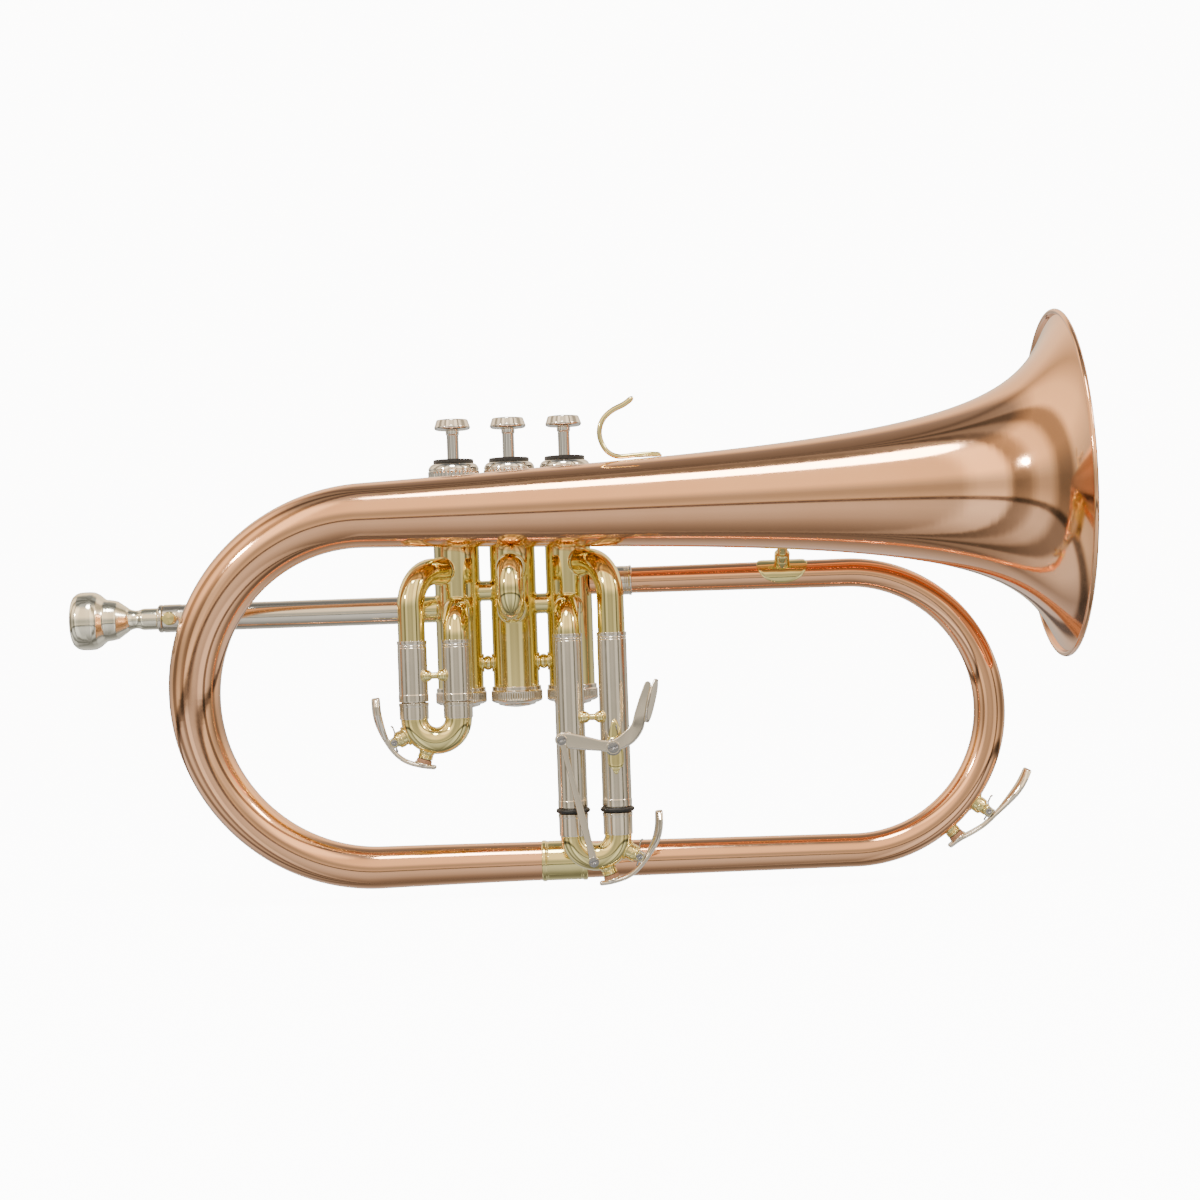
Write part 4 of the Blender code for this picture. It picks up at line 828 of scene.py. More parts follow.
# %% Crossovers and casing braces
CROSSOVER_Z, CROSSOVER_RADIUS, BRACE_Z = (7.5, 1.0), 4.6, -25.1
gap = CASING_RADIUS - 0.3
for i, z in enumerate(CROSSOVER_Z):
    name = f"{i + 1}{i + 2}"
    left, right = VALVE_X[i] + PORT_DEPTH, VALVE_X[i + 1] - PORT_DEPTH
    line = line_of(straight((left, 0, z), (right, 0, z)) * MM, Y)
    tube = pipe(line, CROSSOVER_RADIUS, CROSSOVER_RADIUS - TUBE_WALL)
    sides = ((VALVE_X[i], X), (VALVE_X[i + 1], -X))
    roots = [fillet(np.array((x, 0, z)), out, CROSSOVER_RADIUS, 0.9) for x, out in sides]
    surface = gathered(tube, *roots)
    put(f"crossover_{name}", surface, "yellow_brass", "root", [f"crossover_tube_{name}"])
    start, end = (VALVE_X[i] + gap, 0, BRACE_Z), (VALVE_X[i + 1] - gap, 0, BRACE_Z)
    feet = [
        wrapped_foot(np.array((x, 0, BRACE_Z)), Z, out, CASING_RADIUS, 4.2, 3.6, 0.6)
        for x, out in sides
    ]
    surface = gathered(baluster(start, end, 3.4, 0.8), *feet)
    put(f"casing_post_{name}", surface, "yellow_brass", "root", [f"casing_brace_{name}"])

# %% [markdown]
# ## The mouthpipe
#
# The player's breath enters here. A long outer tube is fixed to the first casing, and a shorter
# tube slides in it for tuning, with the mouthpiece wedged in its end. A small screw with a round
# head locks the sliding tube. Each is a tube outline turned about the line of the mouthpipe.

# %% Sleeve, sliding tube and lock screw
MOUTHPIPE_END, SLEEVE_RADIUS, SLEEVE_BORE, MOUTHPIPE_BORE = -160.8, 6.2, 5.75, 5.0
CASING_1_FACE, SPIGOT_RADIUS, TUNING_DEPTH = VALVE_X[0] - CASING_RADIUS, 5.4, 60
sleeve_start = MOUTHPIPE_END + 2.7
origin = np.zeros(3)

outer = [(SLEEVE_BORE, sleeve_start), (SLEEVE_RADIUS + 0.15, sleeve_start)]
outer += [(SLEEVE_RADIUS + 0.15, sleeve_start + 7.4), (SLEEVE_RADIUS, sleeve_start + 7.8)]
outer += [(SLEEVE_RADIUS, CASING_1_FACE - 13.0), (4.7, CASING_1_FACE - 13.0)]
outer += [(4.7, CASING_1_FACE - 14.0), (SLEEVE_BORE, CASING_1_FACE - 14.0)]
sleeve = turned(outer, origin, X, 72, 0.15)
root = [(4.7, CASING_1_FACE - 12.9), (6.05, CASING_1_FACE - 12.9), (6.45, CASING_1_FACE - 12.5)]
root += [(6.45, CASING_1_FACE - 11.6), (6.05, CASING_1_FACE - 11.2), (6.05, CASING_1_FACE + 0.9)]
root += [(4.7, CASING_1_FACE + 0.9)]
collar = turned(root, origin, X, 72, 0.15)
foot = fillet(np.array((VALVE_X[0], 0, 0)), -X, 6.05, 0.6)
put("mouthpipe_receiver_tube", sleeve, "nickel", "root", ["mouthpipe_sleeve"])
put("mouthpipe_root_collar", gathered(collar, foot), "yellow_brass", "root")

tuning_radius = SLEEVE_BORE - 0.3
end = MOUTHPIPE_END + TUNING_DEPTH
outline = [(MOUTHPIPE_BORE, MOUTHPIPE_END), (5.6, MOUTHPIPE_END), (6.35, MOUTHPIPE_END + 0.6)]
outline += [(6.35, MOUTHPIPE_END + 1.7), (6.1, MOUTHPIPE_END + 2.4)]
outline += [(tuning_radius, MOUTHPIPE_END + 2.4), (tuning_radius, end), (MOUTHPIPE_BORE, end)]
surface = turned(outline, origin, X, 72, 0.3)
put("mouthpipe_tuning_tube", surface, "nickel", "mouthpipe", ["mouthpipe"])

LOCK_SCREW_X, screw_tip = -154.2, SLEEVE_BORE
head, top = SLEEVE_RADIUS + 1.2, SLEEVE_RADIUS + 5.8
outline = [(0, screw_tip), (1.5, screw_tip), (1.5, head), (2.2, head), (3.1, head + 0.8)]
outline += [(3.1, top - 0.9), (2.6, top - 0.3), (0, top)]
at = np.array((LOCK_SCREW_X, 0, 0)) * MM
surface = turned(outline, at, -Y, 144, 0.15, (24, 0.22, head + 0.7, top - 0.7))
put("lock_screw_knob", surface, "yellow_brass", "lock_screw", ["mouthpipe_lock_screw"])
boss = [(1.9, SLEEVE_RADIUS - 0.35), (3.0, SLEEVE_RADIUS - 0.35), (3.0, SLEEVE_RADIUS + 0.7)]
boss += [(2.7, SLEEVE_RADIUS + 1.0), (1.9, SLEEVE_RADIUS + 1.0)]
put("lock_screw_boss", turned(boss, at, -Y, 56, 0.1), "nickel", "root")

# %% [markdown]
# ## The mouthpiece
#
# It is turned from one bar of brass and silver plated. The cup is deep, the wall outside is a
# barrel that falls in steps to a thin neck, and the shank swells again before it enters the
# mouthpipe. The cup's inside is a smooth bowl that narrows to the throat.

# %% Mouthpiece
CUP_LENGTH, SHANK_DEPTH = 38.4, 22.0
mouth = [(8.4, 0.9), (9.3, 0.15), (10.1, 0), (11.3, 0.5), (12.5, 1.9), (13.05, 3.4), (13.2, 5.4)]
mouth += [(13.2, 8.2), (13.0, 10.0), (12.0, 12.0), (10.9, 13.3), (9.9, 14.5), (9.45, 15.3)]
mouth += [(9.35, 16.9), (9.1, 18.2), (8.65, 20.2), (7.1, 22.4), (5.65, 24.55), (4.95, 25.3)]
mouth += [(4.5, 26.5), (4.2, 27.6), (4.1, 28.5), (4.2, 29.4), (4.55, 30.5), (4.85, 31.3)]
mouth += [(4.92, 32.2), (4.92, CUP_LENGTH - 0.5), (4.7, CUP_LENGTH)]
mouth += [(4.3, CUP_LENGTH + SHANK_DEPTH), (3.6, CUP_LENGTH + SHANK_DEPTH), (2.2, 24.0)]
mouth += [(2.6, 20.0), (4.0, 15.0), (5.8, 10.0), (7.3, 5.5), (8.1, 2.3)]
at = np.array((MOUTHPIPE_END - CUP_LENGTH, 0, 0)) * MM
put("silver_mouthpiece", turned(mouth, at, X, 128, 0.45), "silver", "mouthpiece", ["mouthpiece"])
print("the mouthpiece stands", CUP_LENGTH, "mm out of the mouthpipe")

# %% [markdown]
# ## The first and the third slide
#
# A brass elbow leaves the casing and turns down. A nickel sleeve takes the inner tube of the
# crook. Where two tubes join there is always a lip, because one goes inside the other, and that
# little shadow line is what tells brass and nickel apart from a distance. A post with two balls
# ties each pair of sleeves.

# %% Legs and crooks
SLIDE_Y, LEG_SPACING, ELBOW_RADIUS = -25.0, 19.5, 6.0
OUTER_RADIUS, OUTER_BORE, INNER_RADIUS, INNER_BORE = 6.5, 5.7, 5.4, 4.7
HIGH_BEND, LOW_BEND, LOW_PORT_Z = 15.6, 11.2, -1.0
POST_BALL, POST_REACH, POST_FORWARD = 2.7, 2.9, 3.8
slides = {
    "1": {"valve": VALVE_X[0], "low": VALVE_X[0], "side": -1, "high_port": 16.8, "top": -13.6},
    "3": {"valve": VALVE_X[2], "low": VALVE_X[2] - 1.15, "side": 1, "high_port": 18.9},
}
slides["1"].update(bottom=-40.5, bow=-48.2, inner=22, brace=-29.1, gap=0.3)
slides["3"].update(top=-12.7, bottom=-89.4, bow=-101.9, inner=40, brace=-49.7, gap=2.6)


def elbow(slide, leg_x, port_z, bend):
    """The elbow's tube and its root on the casing."""
    axis = np.array((slide["valve"], 0, port_z))
    out = np.array((leg_x - slide["valve"], SLIDE_Y, 0))
    reach = np.linalg.norm(out)
    out = out / reach
    centre = axis + out * (reach - bend) - Z * bend
    curve = arc(centre, bend, out, Z, 90, 0, 60)
    start, foot = axis + out * PORT_DEPTH, np.array((leg_x, SLIDE_Y, slide["top"] - 0.8))
    path = np.concatenate([straight(start, curve[0], 8)[:-1], curve])
    if curve[-1, 2] > foot[2] + 0.05:
        path = np.concatenate([path, straight(curve[-1], foot, 6)[1:]])
    line = line_of(path * MM, np.cross(out, Z))
    whole = line["run"][-1] / MM
    stations = [(0, SPIGOT_RADIUS), (1.1, SPIGOT_RADIUS), (1.3, ELBOW_RADIUS)]
    stations.append((whole, ELBOW_RADIUS))
    tube = bent(line, tube_outline(stations, [(0, INNER_BORE), (whole, 5.3)]), 64, 0.1, 0.8)
    return gathered(tube, fillet(axis, out, ELBOW_RADIUS, 0.7))


def outer_sleeve(leg_x, top, bottom):
    """A nickel sleeve with a raised lip at the top, two fine grooves, and a band at the bottom."""
    r = OUTER_RADIUS
    outline = [(OUTER_BORE, bottom), (r, bottom), (r + 0.12, bottom + 0.3)]
    outline += [(r + 0.12, bottom + 3.0), (r, bottom + 3.3), (r, top - 3.2)]
    outline += [(r - 0.18, top - 2.95), (r, top - 2.7)]
    outline += [(r, top - 2.1), (r - 0.18, top - 1.85), (r, top - 1.6), (r + 0.1, top - 1.2)]
    outline += [(r + 0.1, top), (OUTER_BORE + 0.1, top)]
    outline += [(OUTER_BORE + 0.1, top - 0.2), (OUTER_BORE, top - 0.2)]
    return turned(outline, np.array((leg_x, SLIDE_Y, 0)) * MM, Z, 72, 0.1)


def crook_tubes(slide):
    """The two inner tubes with their collars, and the bow, as two surfaces."""
    left, right = sorted((slide["low"], slide["low"] + slide["side"] * LEG_SPACING))
    low, collar = slide["bow"], slide["bottom"] - slide["gap"]
    inner, r = slide["bottom"] + slide["inner"], OUTER_RADIUS
    outline = [(INNER_BORE, low), (ELBOW_RADIUS + 0.35, low), (ELBOW_RADIUS + 0.45, low + 0.4)]
    outline += [(r, collar - 1.8), (r + 0.15, collar - 1.5), (r + 0.15, collar - 0.2)]
    outline += [(INNER_RADIUS, collar), (INNER_RADIUS, inner), (INNER_BORE, inner)]
    places = [np.array((x, SLIDE_Y, 0)) * MM for x in (left, right)]
    tubes = [turned(outline, at, Z, 72, 0.12) for at in places]
    middle = np.array(((left + right) / 2, SLIDE_Y, low))
    line = line_of(arc(middle, LEG_SPACING / 2, X, Z, -180, 0, 120) * MM, Y)
    return gathered(*tubes), pipe(line, ELBOW_RADIUS, INNER_BORE, sides=64)


for number, slide in slides.items():
    low, high = slide["low"], slide["low"] + slide["side"] * LEG_SPACING
    words = ("left", "right") if slide["side"] < 0 else ("right", "left")
    ports, bends = (slide["high_port"], LOW_PORT_Z), (HIGH_BEND, LOW_BEND)
    for word, x, port, bend in zip(words, (high, low), ports, bends):
        name = f"slide_{number}_{word}"
        put(f"{name}_elbow", elbow(slide, x, port, bend), "yellow_brass", "root")
        surface = outer_sleeve(x, slide["top"], slide["bottom"])
        put(f"{name}_sleeve", surface, "nickel", "root", [f"{name}_leg"])
    body = f"slide_{number}"
    tubes, bow = crook_tubes(slide)
    put(f"slide_{number}_inner_tubes", tubes, "nickel", body, [f"slide_{number}_crook"])
    put(f"slide_{number}_bow", bow, "yellow_brass", body)
    post_x = min(low, high) + OUTER_RADIUS - POST_REACH
    post = np.array((post_x, SLIDE_Y - POST_FORWARD, slide["brace"]))
    post_end = post + X * (LEG_SPACING - 2 * OUTER_RADIUS + 2 * POST_REACH)
    surface = two_ball_post(post, post_end, POST_BALL)
    put(f"slide_{number}_post", surface, "yellow_brass", "root", [f"slide_{number}_brace"])

# %% Rubber rings on the third slide
def ring(centre, around, large, small):
    """A round ring: a circle of radius small carried round a circle of radius large."""
    turn = circle(24)
    outline = np.stack([large + small * np.cos(turn), small * np.sin(turn)], axis=1)
    return turned(outline, np.asarray(centre) * MM, around, 64, 0)


third = slides["3"]
rings = [
    ring((x, SLIDE_Y, third["bottom"] - 1.3), Z, 6.4, 1.15)
    for x in (third["low"], third["low"] + LEG_SPACING)
]
put("slide_3_rubber_rings", gathered(*rings), "rubber", "slide_3")

# %% [markdown]
# ## The second slide
#
# The middle valve's slide is so short that it points straight at the player's right hand: two
# brass stubs one above the other, and a small bow that joins them.

# %% Second slide
SLIDE_2_MIDDLE, SLIDE_2_HALF, SLIDE_2_END, SLIDE_2_BOW = 8.1, 9.3, -26.0, -29.0
for word, z in (("upper", SLIDE_2_MIDDLE + SLIDE_2_HALF), ("lower", SLIDE_2_MIDDLE - SLIDE_2_HALF)):
    r = 6.1
    tip, face = SLIDE_2_END, -CASING_RADIUS
    outline = [(INNER_BORE, -PORT_DEPTH), (SPIGOT_RADIUS, -PORT_DEPTH)]
    outline += [(SPIGOT_RADIUS, face + 0.2), (r, face + 0.2), (r, tip + 3.4), (r + 0.4, tip + 3.1)]
    outline += [(r + 0.4, tip), (OUTER_BORE, tip)]
    outline += [(OUTER_BORE, face - 1.6), (INNER_BORE, face - 1.6)]
    at = np.array((0, 0, z)) * MM
    tube = turned([(a, -b) for a, b in outline], at, -Y, 72, 0.12)
    root = fillet(np.array((0, 0, z)), -Y, r, 0.7)
    surface = gathered(tube, root)
    put(f"slide_2_{word}_stub", surface, "yellow_brass", "root", [f"slide_2_{word}_leg"])
collar, inner = SLIDE_2_END - 0.3, SLIDE_2_END + 12
middle = np.array((0, SLIDE_2_BOW, SLIDE_2_MIDDLE))
upper, lower = SLIDE_2_MIDDLE + SLIDE_2_HALF, SLIDE_2_MIDDLE - SLIDE_2_HALF
path = [straight((0, inner, upper), (0, SLIDE_2_BOW, upper), 10)[:-1]]
path += [arc(middle, SLIDE_2_HALF, -Y, Z, 90, -90, 100)]
path += [straight((0, SLIDE_2_BOW, lower), (0, inner, lower), 10)[1:]]
line = line_of(np.concatenate(path) * MM, X)
whole = line["run"][-1] / MM
step = inner - collar
stations = [(0, INNER_RADIUS), (step, INNER_RADIUS), (step + 0.1, 6.0), (whole - step - 0.1, 6.0)]
stations += [(whole - step, INNER_RADIUS), (whole, INNER_RADIUS)]
outline = tube_outline(stations, [(0, INNER_BORE), (whole, INNER_BORE)])
surface = bent(line, outline, 64, 0.1, 0.7)
put("slide_2_bow", surface, "yellow_brass", "slide_2", ["slide_2_crook"])
print("slide pieces done")

# %% [markdown]
# ## What holds the bell
#
# A post on the main tube carries the bell, on a long foot with curved ends that spreads the load.
# Two short stays tie the bell to the first and the third casing. On top a bent wire makes a rest
# for the little finger: its foot is pressed flat, then it curls up and over.

# %% Bell brace
BRACE_X, BRACE_POST = 121.4, 2.3

tube_middle, tube_radius = np.array((BRACE_X, 0, EXIT_Z)), main_radius(BRACE_X)
bell_middle = np.array((BRACE_X, BELL_Y, bell_axis_z(BRACE_X)))
reach = np.linalg.norm(bell_middle - tube_middle)
towards = (bell_middle - tube_middle) / reach
bell_surface = reach - bell_radius(RIM_X - BRACE_X)
foot = wrapped_foot(tube_middle, X, towards, tube_radius, 11.5, 9.2, 0.7, 0.9, 128)
outline = [(0, tube_radius + 0.2), (3.5, tube_radius + 0.2), (3.5, tube_radius + 3.2)]
outline += [(3.3, tube_radius + 3.4), (3.5, tube_radius + 3.6), (3.5, tube_radius + 6.4)]
outline += [(3.1, tube_radius + 7.0), (BRACE_POST, tube_radius + 7.4)]
outline += [(BRACE_POST, bell_surface - 2.2), (2.8, bell_surface - 1.6)]
outline += [(4.6, bell_surface - 0.8), (5.2, bell_surface - 0.3)]
outline += [(5.2, bell_surface + 0.3), (0, bell_surface + 0.3)]
post = turned(outline, tube_middle * MM, towards, 72, 0.3)
put("bell_post_and_foot", gathered(post, foot), "yellow_brass", "root", ["bell_brace"])

# %% Bell stays
for number in (1, 3):
    x = VALVE_X[number - 1]
    z, gap = bell_axis_z(x), -BELL_Y - bell_radius(RIM_X - x)
    outline = [(0, CASING_RADIUS - 0.4), (4.2, CASING_RADIUS - 0.4), (3.6, CASING_RADIUS + 0.5)]
    outline += [(3.6, gap - 0.5), (4.2, gap + 0.5), (0, gap + 0.5)]
    surface = turned(outline, np.array((x, 0, z)) * MM, -Y, 64, 0.1)
    put(f"bell_tie_{number}", surface, "yellow_brass", "root", [f"bell_stay_{number}"])


# %% Finger hook
HOOK_START, HOOK_WIRE = 67.9, 1.3
seat = bell_axis_z(HOOK_START) + bell_radius(RIM_X - HOOK_START) + HOOK_WIRE
hook = [(0, -0.2), (-6, 0), (-12, -0.4), (-19, -0.6), (-23.7, 2.0), (-26.3, 7.2), (-26.4, 12.2)]
hook += [(-24.3, 16.6), (-20.4, 19.8), (-15.8, 22.0), (-13.1, 23.8), (-11.4, 25.4)]
flat = through(hook, 12)
path = np.stack([HOOK_START + flat[:, 0], BELL_Y + 0 * flat[:, 0], seat + flat[:, 1]], axis=1)
pad = [(HOOK_START + 0.5, BELL_Y, seat - 0.75), (HOOK_START - 12, BELL_Y, seat - 0.95)]
pad = pressed(straight(*pad, 24) * MM, [1.2, 4.0, 5.0, 5.2, 5.0, 4.0, 1.2], 0.9, Y)
surface = gathered(rod(path * MM, (1.0, HOOK_WIRE), 24, Y, 1.6), pad)
put("finger_rest_wire", surface, "yellow_brass", "root", ["finger_hook"])

# %% [markdown]
# ## The third slide's trigger
#
# A thumb lever on a shield-shaped saddle pushes a thin flat rod, and the rod pushes the slide.
# The lever is a pressed strip of nickel silver: an outline in one plane, thin across it, with
# a plate for the thumb turned up along its edge. Slotted screws hold each pivot.

# %% Screws and coils
SLOT_HALF = 0.32  # half the width of a screw slot


def slotted_screw(at, towards, radius, height, shank=0.8, depth=2.0):
    """A cheese-head screw whose slot is a dip in the crown.

    The crown's height falls with a steep even power of the distance from the slot's middle line.
    """
    rows = np.array([0.0, 0.2, 0.4, 0.6, 0.8, 0.95]) * radius
    axis = np.asarray(towards, float) / np.linalg.norm(towards)
    first, second = across_of(axis, Z if abs(axis[2]) < 0.9 else X)
    turn = circle(96)
    disc = rows[:, None] * np.stack([np.cos(turn)] * len(rows))
    other = rows[:, None] * np.stack([np.sin(turn)] * len(rows))
    line = 0.94 * disc + 0.34 * other
    dome = 0.12 * (1 - (rows[:, None] / radius) ** 2)
    crown = height + dome - 0.45 * np.exp(-((line / SLOT_HALF) ** 6))
    edge = radius * np.array([1.0, 1.0, shank / radius, shank / radius, 0.0])
    drop = np.array([height - 0.2, 0.0, 0.0, -depth, -depth])
    radii = np.concatenate([rows, edge])[:, None] * np.ones(len(turn))
    high = np.concatenate([crown, drop[:, None] * np.ones(len(turn))])
    spokes = np.cos(turn)[:, None] * first + np.sin(turn)[:, None] * second
    grid = np.asarray(at) + radii[..., None] * spokes + high[..., None] * axis
    return skin(grid * MM)


def coil(start, end, radius, turns, wire, lead_in=(), lead_out=()):
    """A spring: a helix from start to end, with straight wire before and after it."""
    start, end = np.asarray(start, float), np.asarray(end, float)
    axis = (end - start) / np.linalg.norm(end - start)
    first, second = across_of(axis, Z if abs(axis[2]) < 0.9 else X)
    turn = np.linspace(0, 2 * np.pi * turns, int(turns * 20))[:, None]
    share = turn / turn[-1]
    wound = radius * (np.cos(turn) * first + np.sin(turn) * second)
    helix = start * (1 - share) + end * share + wound
    leads = [np.asarray(lead, float).reshape(-1, 3) for lead in (lead_in, lead_out)]
    return rod(np.concatenate([leads[0], helix, leads[1]]) * MM, wire, 10, axis)


# %% Trigger lever
PIVOT = np.array((42.5, -35.4, -62.9))
ARM, TILT, PLATE = 22.7, np.radians(10.4), 1.3
eye = PIVOT + ARM * np.array((-np.cos(TILT), 0, np.sin(TILT)))


def lever_strip(points, heights, thickness):
    """A flat strip in the plane of the slides: its outline lies in X and Z, and it is thin in Y.

    Its section is a rounded box. Its ends close as quarter circles in the strip's own plane.
    """
    line = line_of(through(points, 16) * MM, Y)
    whole = line["run"][-1] / MM
    s = np.concatenate([[0, 0.05, 0.2, 0.5, 1.0], np.linspace(1.6, whole - 1.6, 90)])
    s = np.concatenate([s, whole - np.array([1.0, 0.5, 0.2, 0.05, 0])])
    at, thin, broad = along(line, s * MM)
    half = np.interp(s / whole, np.linspace(0, 1, len(heights)), heights) / 2
    left = np.minimum(np.minimum(s, whole - s) / half, 1)
    half = half * np.sqrt(1 - (1 - left) ** 2)
    turn = circle(32)[None, :]
    u = boxy(np.cos(turn), 0.3) * half[:, None]
    v = boxy(np.sin(turn), 0.5) * np.minimum(thickness / 2, half)[:, None]
    return skin(at[:, None] + (u[..., None] * broad[:, None] + v[..., None] * thin[:, None]) * MM)


beyond = (eye - PIVOT) / ARM * 3.0
arm_points = [eye + beyond, eye + beyond * 0.5, eye * 0.6 + PIVOT * 0.4, eye * 0.2 + PIVOT * 0.8]
arm_points += [PIVOT + (0, 0, 0.6), PIVOT + (6.3, -0.4, 3.6), PIVOT + (10.6, -1.0, 8.2)]
arm_points += [PIVOT + (12.3, -1.6, 14.1), PIVOT + (14.1, -2.0, 20.8), PIVOT + (16.4, -2.0, 28.4)]
arm_heights = [5.8, 6.9, 6.2, 5.0, 5.2, 6.4, 5.6, 5.0, 4.0, 2.8]
arm = lever_strip(np.array(arm_points), arm_heights, PLATE)
plate = [(14.9, -2, 10.4), (15.6, -2, 12.5), (16.8, -2, 17.5), (18.3, -2, 23.3)]
plate_path = PIVOT + np.array([*plate, (19.3, -2, 27.4), (19.9, -2, 29.3)])
face = np.array((0.36, 0.93, 0))
thumb = pressed(through(plate_path, 16) * MM, [3.6, 7.4, 9.0, 9.2, 9.0, 7.6, 3.6], 1.1, face)
boss = turned([(0, -1.1), (3.0, -1.1), (3.0, 1.0), (0, 1.0)], PIVOT * MM, -Y, 56, 0.2)
surface = gathered(arm, thumb, boss)
put("trigger_strip_and_plate", surface, "nickel", "trigger", ["trigger_lever"])
head = slotted_screw(eye - (0, 3.4, 0), -Y, 2.1, 1.1, 0.75, 3.0)
middle = slotted_screw(PIVOT - (0, 1.1, 0), -Y, 2.5, 1.0, 0.9, 0.6)
put("trigger_screws", gathered(head, middle), "steel", "trigger")

# %% Trigger saddle
leg_x = slides["3"]["low"] + LEG_SPACING
on_leg = np.array((leg_x, SLIDE_Y, PIVOT[2]))
shield = wrapped_foot(on_leg, Z, -Y, OUTER_RADIUS, 12.2, 3.5, 0.8, 1.7, 96)
block = wrapped_foot(on_leg - Z * 4.6, Z, -Y, OUTER_RADIUS, 5.4, 3.1, 1.7, 0.5, 96)
post = [(0, 6.0), (4.2, 6.0), (4.2, 7.3), (3.2, 7.9), (2.9, 8.4), (2.9, 9.0), (0, 9.0)]
at = np.array((PIVOT[0], SLIDE_Y, PIVOT[2]))
post = turned(post, at * MM, -Y, 64, 0.25)
put("trigger_shield", gathered(shield, block, post), "yellow_brass", "root", ["trigger_saddle"])
start, end = PIVOT + (0, 2.6, 0), PIVOT + (0, 0.9, 0)
ends = [(PIVOT[0] - 9, end[1], PIVOT[2] + 0.5)]
legs = [(PIVOT[0] + 1.5, start[1], PIVOT[2] + 9.5), (PIVOT[0] + 2.9, start[1], PIVOT[2] + 3.0)]
surface = coil(start, end, 3.4, 3.0, 0.35, legs, ends)
put("trigger_return_spring", surface, "steel", "root")

# %% Push rod
ROD_PLANE = -38.0
ROD_END = np.array((32.4, ROD_PLANE, -112.3))
high = np.array((eye[0], ROD_PLANE, eye[2]))
reach = np.linalg.norm(high - ROD_END)
towards = (high - ROD_END) / reach
low_end, high_end = ROD_END + towards * 1.5, high - towards * 1.5
widths = [3.4, 2.9, 3.5, 3.2, 2.7, 2.4, 2.4, 2.6]
shaft = pressed(straight(low_end, high_end, 40) * MM, widths, 1.3, np.cross(towards, Y))
eye_outline = [(0.95, -0.7), (2.3, -0.7), (2.3, 0.7), (0.95, 0.7)]
eyes = [turned(eye_outline, place * MM, -Y, 48, 0.2) for place in (ROD_END, high)]
put("flat_push_rod", gathered(shaft, *eyes), "nickel", "trigger_rod", ["trigger_rod"])
stud = [(0, 2.5), (2.0, 2.5), (2.0, 12.0), (0.8, 12.1), (0.8, 13.8), (0, 13.8)]
at = np.array((ROD_END[0], SLIDE_Y, ROD_END[2]))
stud = turned(stud, at * MM, -Y, 48, 0.15)
screw = slotted_screw(np.array((ROD_END[0], ROD_PLANE - 0.9, ROD_END[2])), -Y, 2.2, 1.0, 0.75, 0.6)
put("push_rod_stud", stud, "yellow_brass", "slide_3")
put("push_rod_screw", screw, "steel", "slide_3")

# %% [markdown]
# ## Water keys
#
# Three spring levers close the drain holes. Each hangs from a grooved drum on the outside of a
# bow. Its short end presses a cork on a little ring nipple, and its long end flares into a fluted
# plate for the finger. All places on a key are angles round the bow and heights above it.

# %% Water keys
KEY_PLATE = 1.9
CORK_RADIUS, CORK_HEIGHT, NIPPLE_HEIGHT = 3.4, 2.5, 2.6


